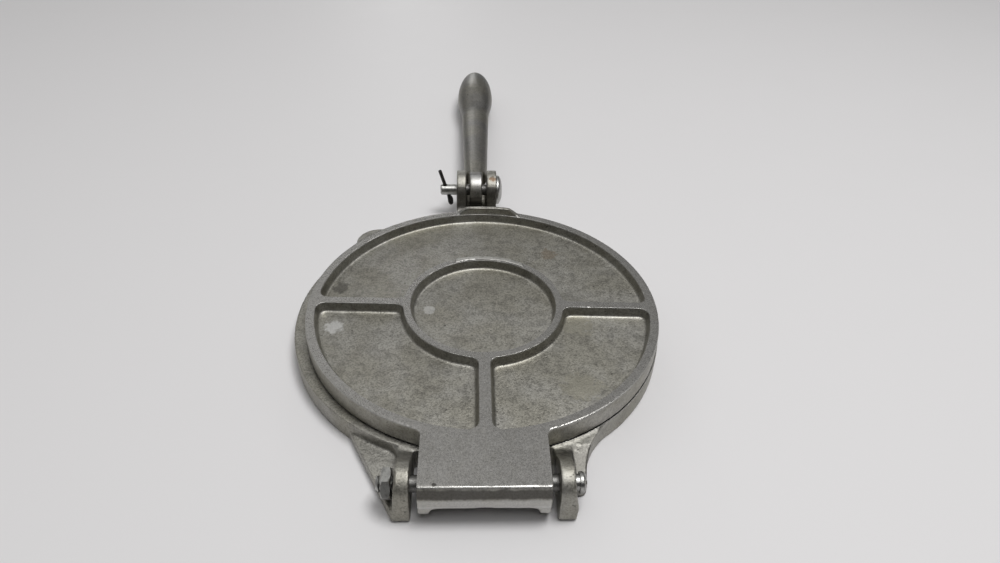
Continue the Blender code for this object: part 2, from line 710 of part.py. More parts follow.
def bar_section(distance):
    """Half width and half height of the lever's bar and bulb at a distance from the pin."""
    bulb_start = LEVER_LENGTH - BULB_LENGTH
    share = min(1, max(0, (distance - TONGUE_LENGTH) / (bulb_start - TONGUE_LENGTH)))
    half_width = (BAR_START_WIDTH + (BAR_END_WIDTH - BAR_START_WIDTH) * share) / 2
    half_height = BAR_HEIGHT / 2
    if distance > BULB_WIDEST:
        swell = math.sqrt(max(0, 1 - ((distance - BULB_WIDEST) / (LEVER_LENGTH - BULB_WIDEST)) ** 2))
        return BULB_DIAMETER / 2 * swell, BULB_DIAMETER / 2 * swell
    if distance > bulb_start:
        share = (distance - bulb_start) / (BULB_WIDEST - bulb_start)
        swell = (1 - cos(180 * share)) / 2
        half_width += (BULB_DIAMETER / 2 - half_width) * swell
        half_height += (BULB_DIAMETER / 2 - half_height) * swell
    return half_width, half_height


def lever(material):
    eye = [Vector((p.x, p.y)) for p in arc((0, 0), EYE_RADIUS, 90, 270, ROUND_STEPS // 2)]
    tail = TONGUE_LENGTH + BAR_SHOULDER_RADIUS
    half = TONGUE_HEIGHT / 2
    outline = rounded_polygon([
        (0, -EYE_RADIUS, 0),
        (EYE_RADIUS, -half, EYE_RADIUS / 2),
        (tail, -half, 0),
        (tail, half, 0),
        (EYE_RADIUS, half, EYE_RADIUS / 2),
        (0, EYE_RADIUS, 0),
    ])
    left = -TONGUE_THICKNESS / 2
    tongue = side_slab("lever", tidy(outline + eye[1:-1]), left, -left, SANDED_EDGE)

    places = []
    for step in range(FILLET_STEPS + 1):
        angle = 90 * step / FILLET_STEPS
        ahead = BAR_SHOULDER_RADIUS * (1 - cos(angle))
        places.append((TONGUE_LENGTH + ahead, BAR_SHOULDER_RADIUS * (1 - sin(angle))))
    start = TONGUE_LENGTH + BAR_SHOULDER_RADIUS
    for step in range(1, LEVER_STEPS + 1):
        turn = 90 * step / LEVER_STEPS
        places.append((start + (LEVER_LENGTH - start) * sin(turn), 0))
    rings = []
    for distance, step in places[:-1]:
        half_width, half_height = bar_section(distance)
        ring = []
        for p in circle(1, LEVER_SIDES):
            ring.append((p.x * (half_width - step), distance, p.y * (half_height - step)))
        rings.append(ring)
    bar = loft("bar", rings)
    body = carve(tongue, [bar], [bore(PIN_DIAMETER / 2 + PIN_CLEARANCE, TONGUE_THICKNESS / 2)])
    body.data.transform(Matrix.Translation((LEVER_MIDDLE, FORK_REACH, PIN_HEIGHT)))
    return finish(body, material, (LEVER_MIDDLE, FORK_REACH, PIN_HEIGHT), -LEVER_REST_ANGLE)


def dome(start, edge, thickness, radius, toward):
    """(x, radius) pairs of a head: a short straight edge, then a dome."""
    pairs = [(start, radius), (start + toward * edge, radius)]
    rise = thickness - edge
    for step in range(1, FILLET_STEPS + 2):
        angle = 90 * step / (FILLET_STEPS + 2)
        pairs.append((start + toward * (edge + rise * sin(angle)), radius * cos(angle)))
    return pairs


def hinge_bolt(material):
    radius = BOLT_DIAMETER / 2
    tip = HINGE_OFFSET - EAR_OUTER - NUT_GAP - NUT_THICKNESS - BOLT_END_LENGTH
    seat = HINGE_OFFSET + EAR_OUTER + BOLT_HEAD_GAP
    profile = [(tip, radius - BOLT_END_CHAMFER), (tip + BOLT_END_CHAMFER, radius), (seat, radius)]
    profile += dome(seat, BOLT_HEAD_EDGE, BOLT_HEAD_THICKNESS, BOLT_HEAD_DIAMETER / 2, 1)
    bolt = turned("hinge_bolt", profile, ROUND_STEPS)
    face = seat + BOLT_HEAD_THICKNESS
    half = BOLT_SLOT_WIDTH / 2
    long = BOLT_HEAD_DIAMETER
    slot_outline = [Vector(p) for p in ((-long, -half), (long, -half), (long, half), (-long, half))]
    slot = side_slab("slot", slot_outline, face - BOLT_SLOT_DEPTH, face + OVERRUN)
    slot.data.transform(Matrix.Rotation(math.radians(BOLT_SLOT_ANGLE), 4, "X"))
    carve(bolt, cut=[slot])
    bolt.data.transform(Matrix.Translation((0, -HINGE_REACH, HINGE_HEIGHT)))
    return finish(bolt, material, (0, -HINGE_REACH, HINGE_HEIGHT))


def hinge_nut(material):
    right = HINGE_OFFSET - EAR_OUTER - NUT_GAP
    left = right - NUT_THICKNESS
    corner = NUT_FLATS / 2 / cos(30)
    flat = NUT_FLATS / 2
    hexagon = circle(corner, 6)
    nut = side_slab("hinge_nut", hexagon, left, right)
    profile = [(left, flat), (left + NUT_CHAMFER, corner), (right - NUT_CHAMFER, corner), (right, flat)]
    chamfer = turned("chamfer", [(x, r / cos(180 / ROUND_STEPS)) for x, r in profile], ROUND_STEPS)
    carve(nut, cut=[bore(BOLT_DIAMETER / 2 + NUT_CLEARANCE, -left)], kept=[chamfer])
    nut.data.transform(Matrix.Translation((0, -HINGE_REACH, HINGE_HEIGHT)))
    return finish(nut, material, (0, -HINGE_REACH, HINGE_HEIGHT))


def lever_pin(material):
    radius = PIN_DIAMETER / 2
    tip = -FORK_EAR_OUTER - PIN_OVERHANG
    seat = FORK_EAR_OUTER + PIN_HEAD_GAP
    profile = [(tip, radius - PIN_END_CHAMFER), (tip + PIN_END_CHAMFER, radius), (seat, radius)]
    profile += dome(seat, PIN_HEAD_EDGE, PIN_HEAD_THICKNESS, PIN_HEAD_DIAMETER / 2, 1)
    pin = turned("lever_pin", profile, ROUND_STEPS)
    hole_radius = COTTER_DIAMETER / 2 + COTTER_CLEARANCE
    long = PIN_DIAMETER
    hole = turned("cotter_hole", [(-long, hole_radius), (long, hole_radius)], ROUND_STEPS // 2)
    hole.data.transform(cotter_place())
    carve(pin, cut=[hole])
    pin.data.transform(Matrix.Translation((FORK_OFFSET, FORK_REACH, PIN_HEIGHT)))
    return finish(pin, material, (FORK_OFFSET, FORK_REACH, PIN_HEIGHT))


def cotter_place():
    """Turns a line along X into the cotter's line through the lever pin, about the pin's middle."""
    place = -FORK_EAR_OUTER - PIN_OVERHANG + COTTER_END_DISTANCE
    lean = Matrix.Rotation(math.radians(90 + COTTER_LEAN_ANGLE), 4, "Y")
    turn = Matrix.Rotation(math.radians(COTTER_TURN_ANGLE), 4, "X")
    return Matrix.Translation((place, 0, 0)) @ lean @ turn


def cotter_pin(material):
    """Half-round wire folded to an eye, its two legs side by side through the lever pin."""
    split = COTTER_SPLIT / 2
    neck = COTTER_EYE_DROP
    eye_x = neck + COTTER_EYE_RADIUS
    path = [Vector((x, split)) for x in (-COTTER_LEG_LENGTH, 0, neck - COTTER_EYE_RADIUS)]
    path += arc((eye_x, 0), COTTER_EYE_RADIUS, 140, -140, 2 * CORNER_STEPS)
    path += [Vector((p.x, -p.y)) for p in path[2::-1]]
    wire = COTTER_DIAMETER / 2 - split
    section = arc((0, 0), wire, 0, 180, CORNER_STEPS)
    rings = []
    for index, point in enumerate(path):
        before = path[max(index - 1, 0)]
        after = path[min(index + 1, len(path) - 1)]
        along = (after - before).normalized()
        side = Vector((-along.y, along.x))
        ring = []
        for p in section:
            place = point + side * p.y
            ring.append((place.x, place.y, p.x))
        rings.append(ring)
    cotter = loft("cotter_pin", rings)
    cotter.data.transform(cotter_place())
    cotter.data.transform(Matrix.Translation((FORK_OFFSET, FORK_REACH, PIN_HEIGHT)))
    return finish(cotter, material, (FORK_OFFSET, FORK_REACH, PIN_HEIGHT))


def build():
    for leftover in list(bpy.data.objects):
        bpy.data.objects.remove(leftover)
    cast = metal("cast_aluminium", (0.42, 0.41, 0.39), 0.45)
    lever_cast = metal("lever_aluminium", (0.30, 0.30, 0.29), 0.42)
    steel = metal("plated_steel", (0.50, 0.50, 0.48), 0.35)
    black = metal("blackened_wire", (0.02, 0.02, 0.02), 0.55)
    base_plate(cast)
    lid_plate(cast)
    lever(lever_cast)
    hinge_bolt(steel)
    hinge_nut(steel)
    lever_pin(steel)
    cotter_pin(black)


build()
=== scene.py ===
"""Finished look of a cast hand press: its castings, its fasteners, the studio and the camera.

Run as a script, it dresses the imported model. Lengths are in metres and angles in degrees. +Y runs
from the hinge to the grip, +X to the right and +Z up. The plates, the hinge and the fork are first
shaped about the axis of the lid plate, then moved to its place in the model.
"""

import json
import math

import bmesh
import bpy
from bpy.props import FloatProperty, FloatVectorProperty, IntProperty, PointerProperty
from mathutils import Matrix, Vector


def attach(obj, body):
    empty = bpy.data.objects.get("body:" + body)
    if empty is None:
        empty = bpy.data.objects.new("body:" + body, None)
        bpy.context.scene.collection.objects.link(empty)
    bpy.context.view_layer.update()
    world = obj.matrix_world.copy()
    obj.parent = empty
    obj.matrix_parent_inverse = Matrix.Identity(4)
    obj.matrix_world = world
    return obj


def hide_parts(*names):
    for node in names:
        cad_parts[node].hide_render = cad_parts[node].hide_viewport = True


bl_info = {
    "name": "Cast Hand Press",
    "version": (1, 0, 0),
    "blender": (4, 5, 0),
    "location": "View3D > Sidebar > Hand Press",
    "description": "Models the castings, fasteners and studio of a cast hand press",
    "category": "Add Mesh",
}

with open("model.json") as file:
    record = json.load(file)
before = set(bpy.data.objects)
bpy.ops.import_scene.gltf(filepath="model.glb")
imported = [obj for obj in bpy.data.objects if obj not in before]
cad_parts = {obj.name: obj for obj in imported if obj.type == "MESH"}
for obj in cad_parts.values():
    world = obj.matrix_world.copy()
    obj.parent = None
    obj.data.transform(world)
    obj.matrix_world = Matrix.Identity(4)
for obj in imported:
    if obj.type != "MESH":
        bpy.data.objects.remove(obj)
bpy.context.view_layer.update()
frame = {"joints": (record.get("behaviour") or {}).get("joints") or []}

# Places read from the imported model
JOINT_PLACES = {joint["name"]: Vector(joint["pos_m"]) for joint in frame["joints"]}
HINGE_PLACE = JOINT_PLACES["lid_hinge"]
PIVOT_PLACE = JOINT_PLACES["lever_swing"]

# Places of the base disc, the hinge and the fork, about the lid's middle
BASE_OFFSET = -0.0026
BASE_SETBACK = 0.0025
HINGE_REACH = 0.0975
HINGE_OFFSET = -0.0006
FORK_REACH = 0.1126
FORK_OFFSET = -0.0028
PLATE_MIDDLE = Vector((HINGE_PLACE.x - HINGE_OFFSET, HINGE_PLACE.y + HINGE_REACH, 0))

# Hinge ears and the arms that carry them
EAR_RADIUS = 0.0085
EAR_THICKNESS = 0.0061
EAR_DRAFT_ANGLE = 4.0
EAR_SIDE_GAP = 0.0030
EAR_FOOT_LENGTH = 0.0180
EAR_RAMP_ANGLE = 40.0
EAR_RAMP_FILLET = 0.0070
EAR_BULGE = 0.0009
EAR_BULGE_HEIGHT = 0.0072
EAR_BULGE_REACH = 0.0042
ROOT_SHARE = 0.866
ARM_HEIGHT = 0.0100
ARM_FILLET_RADIUS = 0.0090
GUSSET_HEIGHT = 0.0092

# Hinge block of the lid
BLOCK_FRONT = 0.0083
BLOCK_TOP_FRONT = 0.0079
BLOCK_BELLY = 0.0098
BLOCK_BELLY_RISE = 0.0012
BLOCK_BELLY_RADIUS = 0.0060
BLOCK_DROP = 0.0094
BLOCK_EDGE = 0.0020
BLOCK_LOBE_RADIUS = 0.0044
BLOCK_SKIN = 0.0038
BLOCK_CHEEK = 0.0043
BLOCK_SKIRT_DROP = 0.0032
BLOCK_ARCH_RISE = 0.0007
BLOCK_ARCH_RADIUS = 0.0035
BLOCK_HOLLOW_RADIUS = 0.0020
BLOCK_ROOT_FILLET = 0.0030

# Webs beside the hinge arms
WEB_HEIGHT = 0.0055
WEB_START_ANGLE = 232.0
WEB_FOOT_WIDTH = 0.0003
WEB_SETBACK = 0.0008
RIGHT_WEB_WIDTH = 0.0062
RIGHT_WEB_SETBACK = 0.0110
RIGHT_WEB_FILLET = 0.0360
RIGHT_WEB_CORNER = 0.0025

# Rounded top edge of the lid, and where the ribs of both plates run
LID_SHOULDER = 0.0012
LID_RIB_ANGLES = (-1.5, 178.5, 270)
BASE_RIB_ANGLES = (0, 90, 180, 270)

# Press pad, a raised stretch of the lid's rim, and the stub of the casting gate
PAD_RISE = 0.0040
PAD_TOP_WIDTH = 0.0240
PAD_FOOT_WIDTH = 0.0335
PAD_TOP_DEPTH = 0.0022
PAD_ROOT = 0.0016
PAD_OFFSET = 0.0033
STUB_ANGLE = 136.0
STUB_REACH = 0.0878
STUB_RADIUS = 0.0120
STUB_SINK = 0.0012
STUB_THICKNESS = 0.0070

# Fork for the lever
FORK_EAR_RADIUS = 0.0115
FORK_EAR_THICKNESS = 0.0056
FORK_SLOT_WIDTH = 0.0121
FORK_NECK_HEIGHT = 0.0096
FORK_FLOOR_HEIGHT = 0.0046
FORK_SILL_HEIGHT = 0.0080
FORK_SILL_DEPTH = 0.0075
FORK_FILLET_RADIUS = 0.0040

# Lever, from its pin
LEVER_LENGTH = 0.1880
LEVER_TABLE_GAP = 0.0003
EYE_RADIUS = 0.0105
TONGUE_THICKNESS = 0.0074
TONGUE_HEIGHT = 0.0120
TONGUE_LENGTH = 0.0133
BAR_START_WIDTH = 0.0138
BAR_END_WIDTH = 0.0186
BAR_HEIGHT = 0.0125
BAR_FULLNESS = 0.72
BAR_SINK_SHARE = 0.80
BULB_DIAMETER = 0.0256
BULB_LENGTH = 0.0850
BULB_WIDEST_SHARE = 0.46
BULB_WIDEST = LEVER_LENGTH - BULB_LENGTH * (1 - BULB_WIDEST_SHARE)
BULB_STEPS = 36

# Bolt and pin, both of the same rod, and their bores
ROD_RADIUS = 0.003175
BORE_CLEARANCE = 0.0003
BOLT_HEAD_RADIUS = 0.0041
BOLT_HEAD_THICKNESS = 0.0030
BOLT_HEAD_EDGE = 0.0010
BOLT_HEAD_GAP = 0.0017
BOLT_SLOT_WIDTH = 0.0014
BOLT_SLOT_DEPTH = 0.0015
BOLT_SLOT_ANGLE = 128.0
BOLT_END_LENGTH = 0.0022
ROD_CHAMFER = 0.0007
THREAD_PITCH = 0.00127
THREAD_DEPTH = 0.0005
THREAD_STEPS = 8
THREAD_LENGTH = 0.0120
NUT_FLATS = 0.0111
NUT_THICKNESS = 0.0036
NUT_GAP = 0.0008
NUT_CHAMFER = 0.0006
PIN_HEAD_RADIUS = 0.0085
PIN_HEAD_THICKNESS = 0.0034
PIN_HEAD_EDGE = 0.0007
PIN_HEAD_GAP = 0.0003
PIN_OVERHANG = 0.0098
FASTENER_EDGE = 0.00022

# Cotter through the lever pin
COTTER_RADIUS = 0.0011
COTTER_SPLIT = 0.0003
COTTER_END_DISTANCE = 0.0036
COTTER_LEAN_ANGLE = -17.0
COTTER_TURN_ANGLE = 12.0
COTTER_LEG_LENGTH = 0.0132
COTTER_EYE_RADIUS = 0.0020
COTTER_EYE_ANGLE = 140
COTTER_EYE_DROP = 0.0056

# Making
OVERRUN = 0.0020
BITE = 0.0002
CAST_CORNER = 0.0020
FLAT = 0.00001
PLATE_SIDES = 288
DRUM_SIDES = 64
CORNER_STEPS = 8
DOME_STEPS = 10
EAR_SPLITS = 3
WAVE_LENGTH = 0.0090
SMOOTH_ANGLE = 34
NORMAL_WEIGHT = 80
EDGE_ANGLE = 40
AXES = {
    "X": Matrix(((0, 0, 1, 0), (1, 0, 0, 0), (0, 1, 0, 0), (0, 0, 0, 1))),
    "Y": Matrix(((1, 0, 0, 0), (0, 0, 1, 0), (0, 1, 0, 0), (0, 0, 0, 1))),
    "Z": Matrix.Identity(4),
}

# Sizes worked out from the ones above
HINGE_HEIGHT = HINGE_PLACE.z
PIN_HEIGHT = PIVOT_PLACE.z
FORK_MIDDLE = Vector((PLATE_MIDDLE.x + FORK_OFFSET, PIVOT_PLACE.y, PIN_HEIGHT))
FORK_HALF = FORK_SLOT_WIDTH / 2 + FORK_EAR_THICKNESS
BORE_RADIUS = ROD_RADIUS + BORE_CLEARANCE
LEVER_DROP = PIN_HEIGHT - BULB_DIAMETER / 2 - LEVER_TABLE_GAP
LEVER_REST_ANGLE = math.degrees(math.asin(LEVER_DROP / BULB_WIDEST))


def length(name, description, default):
    return FloatProperty(name=name, description=description, default=default, unit="LENGTH", min=0)


def colour(name, description, default):
    return FloatVectorProperty(
        name=name, description=description, default=default, subtype="COLOR", min=0, max=1
    )


class PlateSizes(bpy.types.PropertyGroup):
    """Main sizes of the two round plates."""

    lid_radius: length("Lid radius", "Radius of the upper plate", 0.0826)
    lid_thickness: length("Lid thickness", "Height of the upper plate's rim", 0.0100)
    base_radius: length("Base radius", "Radius of the lower plate", 0.0865)
    base_thickness: length("Base thickness", "Height of the lower plate", 0.0102)
    rim_width: length("Rim width", "Width of the lid's rim", 0.0040)
    ring_radius: length("Ring radius", "Outer radius of the ring rib", 0.0376)
    ring_width: length("Ring width", "Width of the ring rib", 0.0030)
    side_rib_width: length("Side rib width", "Width of the lid's two side ribs", 0.0038)
    front_rib_width: length("Front rib width", "Width of the lid's front rib", 0.0048)
    pocket_depth: length("Pocket depth", "Depth of the pockets between the ribs", 0.0052)
    pocket_corner: length("Pocket corner", "Radius of the pockets' corners", 0.0045)
    pocket_draft: length("Pocket draft", "How far a pocket's wall leans in over its depth", 0.0013)
    base_rim_width: length("Base rim width", "Width of the rim under the base", 0.0052)
    base_rib_width: length("Base rib width", "Width of the ribs under the base", 0.0044)
    block_width: length("Hinge block width", "Width of the lid's hinge block", 0.0495)


class CastingSettings(bpy.types.PropertyGroup):
    """How coarse and how uneven the castings come out of the sand."""

    skin: length("Skin", "Size of the faces of a casting's skin", 0.00055)
    rounding: IntProperty(name="Rounding", description="How far edges are rounded", default=6)
    allowance: length("Allowance", "How far a ground face is cast proud", 0.0004)
    waves: length("Waves", "Height of the slow waves in a cast face", 0.00012)
    faces: IntProperty(name="Faces", description="Most triangles in a casting", default=185000)


# Outlines

def sin(angle):
    return math.sin(math.radians(angle))


def cos(angle):
    return math.cos(math.radians(angle))


def arc(centre, radius, start, end, steps):
    """Points on an arc from one angle to another, both ends included."""
    points = []
    for step in range(steps + 1):
        angle = start + (end - start) * step / steps
        points.append(Vector((centre[0] + radius * cos(angle), centre[1] + radius * sin(angle))))
    return points


def tidy(points):
    """The same outline without points that fall on their neighbour."""
    kept = []
    for point in points:
        if not kept or (point - kept[-1]).length > FLAT:
            kept.append(point)
    while (kept[0] - kept[-1]).length <= FLAT:
        kept.pop()
    return kept


def rounded(corners):
    """Counter-clockwise outline from (x, y, radius) corners, each turned by a tangent arc."""
    points = []
    for index, (x, y, radius) in enumerate(corners):
        corner = Vector((x, y))
        before = (Vector(corners[index - 1][:2]) - corner).normalized()
        after = (Vector(corners[(index + 1) % len(corners)][:2]) - corner).normalized()
        if radius == 0:
            points.append(corner)
            continue
        half = before.angle(after) / 2
        centre = corner + (before + after).normalized() * radius / math.sin(half)
        start = corner + before * radius / math.tan(half) - centre
        turn = math.degrees(math.pi - 2 * half)
        if before.cross(after) > 0:
            turn = -turn
        first = math.degrees(math.atan2(start.y, start.x))
        points += arc(centre, radius, first, first + turn, CORNER_STEPS)
    return tidy(points)


# Modelling

def deselect():
    bpy.ops.object.select_all(action="DESELECT")


def pick(piece):
    """Makes a piece the active one and the only one selected."""
    deselect()
    bpy.context.view_layer.objects.active = piece
    piece.select_set(True)


def edit(piece, mode="VERT"):
    """Edit mode on one piece, with nothing selected. Returns its editable mesh."""
    pick(piece)
    bpy.ops.object.mode_set(mode="EDIT")
    bpy.ops.mesh.select_mode(type=mode)
    bpy.ops.mesh.select_all(action="DESELECT")
    return bmesh.from_edit_mesh(piece.data)


def done(piece):
    bmesh.update_edit_mesh(piece.data)
    bpy.ops.object.mode_set(mode="OBJECT")
    return piece


def face_out(piece):
    """Every face of a closed piece turned outwards."""
    edit(piece)
    bpy.ops.mesh.select_all(action="SELECT")
    bpy.ops.mesh.normals_make_consistent(inside=False)
    return done(piece)


def swept(name, outline, stations):
    """Solid through one outline at several stations: a circle laid on it, extruded from one to the next."""
    deselect()
    bpy.ops.mesh.primitive_circle_add(vertices=len(outline), radius=1, fill_type="NGON")
    piece = bpy.context.object
    piece.name = name
    for vertex, point in zip(piece.data.vertices, outline):
        vertex.co = stations[0] @ point.to_3d()
    edit(piece)
    bpy.ops.mesh.select_all(action="SELECT")
    for before, after in zip(stations, stations[1:]):
        bpy.ops.mesh.extrude_region_move()
        step = after @ before.inverted()
        mesh = bmesh.from_edit_mesh(piece.data)
        for vertex in mesh.verts:
            if vertex.select:
                vertex.co = step @ vertex.co
    done(piece)
    return face_out(piece)


def slab(name, outline, low, high, along="Z"):
    """Slab between two places along an axis."""
    stations = [AXES[along] @ Matrix.Translation((0, 0, place)) for place in (low, high)]
    return swept(name, outline, stations)


def turned(name, profile, along="X", centre=(0, 0), sides=DRUM_SIDES):
    """Solid of revolution about a line along an axis, from (place, radius) pairs."""
    stations = []
    for place, radius in profile:
        size = Matrix.Diagonal((radius, radius, 1, 1))
        stations.append(AXES[along] @ Matrix.Translation((*centre, place)) @ size)
    return swept(name, arc((0, 0), 1, 0, 360, sides)[:-1], stations)


def modify(piece, kind, **settings):
    """Adds one modifier to a piece and applies it."""
    pick(piece)
    modifier = piece.modifiers.new(kind.title(), kind)
    for setting, value in settings.items():
        setattr(modifier, setting, value)
    bpy.ops.object.modifier_apply(modifier=modifier.name)
    return piece


def combine(body, tools, operation="UNION"):
    """Joins tools to a body, or takes them from it."""
    for tool in tools:
        modify(body, "BOOLEAN", object=tool, operation=operation, solver="MANIFOLD")
        bpy.data.objects.remove(tool)
    return body


def transform(piece, matrix):
    piece.data.transform(matrix)
    return piece


def cast(body, settings):
    """One skin over all that was joined: edges round as sand leaves them, faces slightly uneven."""
    modify(body, "REMESH", mode="VOXEL", voxel_size=settings.skin)
    modify(body, "SMOOTH", factor=0.5, iterations=settings.rounding)
    waves = bpy.data.textures.get("casting_waves") or bpy.data.textures.new("casting_waves", "CLOUDS")
    waves.noise_scale = WAVE_LENGTH
    waves.noise_depth = 2
    strength = settings.waves
    modify(body, "DISPLACE", texture=waves, texture_coords="LOCAL", mid_level=0.5, strength=strength)


def grind(body, height, region, up=1):
    """Cuts the skin at a height and flattens what stands beyond it inside a region."""
    mesh = edit(body, "FACE")
    for face in mesh.faces:
        middle = face.calc_center_median()
        face.select_set(abs(middle.z - height) < OVERRUN and region(middle))
    mesh.select_flush_mode()
    bmesh.update_edit_mesh(body.data)
    bpy.ops.mesh.bisect(plane_co=(0, 0, height), plane_no=(0, 0, 1))
    bpy.ops.mesh.select_all(action="DESELECT")
    mesh = bmesh.from_edit_mesh(body.data)
    for vertex in mesh.verts:
        beyond = up * (vertex.co.z - height) > 0
        if beyond and up * (vertex.co.z - height) < OVERRUN and region(vertex.co):
            vertex.select_set(True)
    bmesh.update_edit_mesh(body.data)
    bpy.ops.transform.resize(value=(1, 1, 0), center_override=(0, 0, height))
    return done(body)


def thin(body, most):
    """Fewer faces where the skin is flat."""
    triangles = sum(len(face.vertices) - 2 for face in body.data.polygons)
    if triangles > most:
        modify(body, "DECIMATE", decimate_type="COLLAPSE", ratio=most / triangles)
    return shade(body)


def shade(piece):
    """Smooth shading that keeps flats flat."""
    pick(piece)
    bpy.ops.object.shade_smooth_by_angle(angle=math.radians(SMOOTH_ANGLE))
    return modify(piece, "WEIGHTED_NORMAL", keep_sharp=True, weight=NORMAL_WEIGHT)


# Pockets

def sector_outline(plate, start, end, start_half, end_half, rim_radius):
    """Outline of the pocket between two ribs, the ring and the rim."""
    corner = plate.pocket_corner
    near = plate.ring_radius + corner
    far = rim_radius - corner
    turns = {}
    for reach in (near, far):
        lean_start = math.degrees(math.asin((start_half + corner) / reach))
        lean_end = math.degrees(math.asin((end_half + corner) / reach))
        turns[reach] = (start + lean_start, end - lean_end)
    steps = round(PLATE_SIDES * (end - start) / 360)
    points = arc((0, 0), rim_radius, *turns[far], steps)[1:-1]
    for reach, place, first, last in (
        (far, turns[far][1], turns[far][1], end + 90),
        (near, turns[near][1], end + 90, turns[near][1] + 180),
    ):
        points += arc((reach * cos(place), reach * sin(place)), corner, first, last, CORNER_STEPS)
    points += arc((0, 0), plate.ring_radius, turns[near][1], turns[near][0], steps // 2)[1:-1]
    for reach, place, first, last in (
        (near, turns[near][0], turns[near][0] + 180, start + 270),
        (far, turns[far][0], start + 270, turns[far][0] + 360),
    ):
        points += arc((reach * cos(place), reach * sin(place)), corner, first, last, CORNER_STEPS)
    return points


def pocket(plate, outline, face, inward):
    """Cutter for one pocket: a slab down to the face, then a drafted wall down to the floor."""
    piece = slab("pocket", outline, face - inward * OVERRUN, face)
    mesh = edit(piece, "FACE")
    for side in mesh.faces:
        if side.normal.z * inward > 0.5:
            side.select_set(True)
    bmesh.update_edit_mesh(piece.data)
    bpy.ops.mesh.inset(thickness=plate.pocket_draft, depth=plate.pocket_depth, use_even_offset=True)
    return done(piece)


def pockets(plate, ribs, rim_radius, face, inward):
    """Cutters for the round middle pocket and for the pockets between ribs of (angle, width)."""
    middle = arc((0, 0), plate.ring_radius - plate.ring_width, 0, 360, PLATE_SIDES // 2)[:-1]
    outlines = [middle]
    for index, (start, start_width) in enumerate(ribs):
        end, end_width = ribs[(index + 1) % len(ribs)]
        if end <= start:
            end += 360
        outlines.append(sector_outline(plate, start, end, start_width / 2, end_width / 2, rim_radius))
    return [pocket(plate, outline, face, inward) for outline in outlines]


# Shader

class Value:
    """A number in a material. Its operators add Math nodes."""

    def __init__(self, nodes, socket):
        self.nodes = nodes
        self.socket = socket

    def math(self, operation, *others):
        return self.nodes.node("ShaderNodeMath", {"operation": operation}, [self, *others])

    def __add__(self, other):
        return self.math("ADD", other)

    __radd__ = __add__

    def __sub__(self, other):
        return self.math("SUBTRACT", other)

    def __rsub__(self, other):
        return self.nodes.node("ShaderNodeMath", {"operation": "SUBTRACT"}, [other, self])

    def __mul__(self, other):
        return self.math("MULTIPLY", other)

    def __abs__(self):
        return self.math("ABSOLUTE")

    def at_least(self, other):
        return self.math("MAXIMUM", other)

    def rise(self, low, high, start=0.0, end=1.0):
        """A smooth step from start to end, as the value goes from low to high."""
        settings = {"interpolation_type": "SMOOTHSTEP"}
        return self.nodes.node("ShaderNodeMapRange", settings, [self, low, high, start, end])


class Nodes:
    """A node tree under way: node adds any node, and the rest are short ways to the common ones."""

    def __init__(self, tree, coordinate):
        self.tree = tree
        self.place = self.node("ShaderNodeTexCoord", output=coordinate)

    def node(self, kind, settings=None, inputs=(), output=0):
        """Adds a node: its settings first, then the values or links of its sockets."""
        node = self.tree.nodes.new(kind)
        for setting, value in (settings or {}).items():
            setattr(node, setting, value)
        pairs = inputs.items() if isinstance(inputs, dict) else enumerate(inputs)
        for socket, value in pairs:
            if isinstance(value, Value):
                self.tree.links.new(value.socket, node.inputs[socket])
            else:
                node.inputs[socket].default_value = value
        return Value(self, node.outputs[output])

    def axes(self):
        parts = self.node("ShaderNodeSeparateXYZ", None, [self.place])
        return [Value(self, socket) for socket in parts.socket.node.outputs]

    def noise(self, scale, detail=2.0, roughness=0.5, place=None):
        inputs = {"Vector": place or self.place, "Scale": scale, "Detail": detail, "Roughness": roughness}
        return self.node("ShaderNodeTexNoise", None, inputs)

    def stretched(self, factors):
        """The place, stretched along each axis, for marks that run one way."""
        return self.node("ShaderNodeVectorMath", {"operation": "MULTIPLY"}, [self.place, factors])

    def mix(self, factor, first, second):
        """A colour between two others."""
        first, second = [c if isinstance(c, Value) else (*c, 1) for c in (first, second)]
        inputs = {0: factor, 6: first, 7: second}
        return self.node("ShaderNodeMix", {"data_type": "RGBA", "clamp_factor": True}, inputs, output=2)

    def distance(self, place, centre):
        return self.node("ShaderNodeVectorMath", {"operation": "DISTANCE"}, [place, centre], output=1)

    def near(self, centre, radius, ragged):
        """A soft, ragged round mark: 1 at its middle and 0 past its radius."""
        away = self.distance(self.place, centre) + (self.noise(RAGGED_SCALE, 3.0) - 0.5) * ragged
        return away.rise(radius, radius * 0.6)


class Finish(Nodes):
    """A material under way. The named inputs of its shader are set to constants."""

    def __init__(self, name, **constants):
        self.material = bpy.data.materials.new(name)
        self.material.use_nodes = True
        super().__init__(self.material.node_tree, "Object")
        self.shader = self.tree.nodes["Principled BSDF"]
        for socket, value in constants.items():
            self.shader.inputs[socket.replace("_", " ").title()].default_value = value

    def wire(self, socket, value):
        self.tree.links.new(value.socket, self.shader.inputs[socket])

    def bump(self, height, distance):
        """Relief from a height of 0 to 1 that stands for a distance in metres."""
        self.wire("Normal", self.node("ShaderNodeBump", None, {"Distance": distance, "Height": height}))


def dress(piece, body, slot, material, *nodes):
    piece.data.materials.clear()
    piece.data.materials.append(material)
    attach(piece, body)
    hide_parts(*nodes)


# Finishes

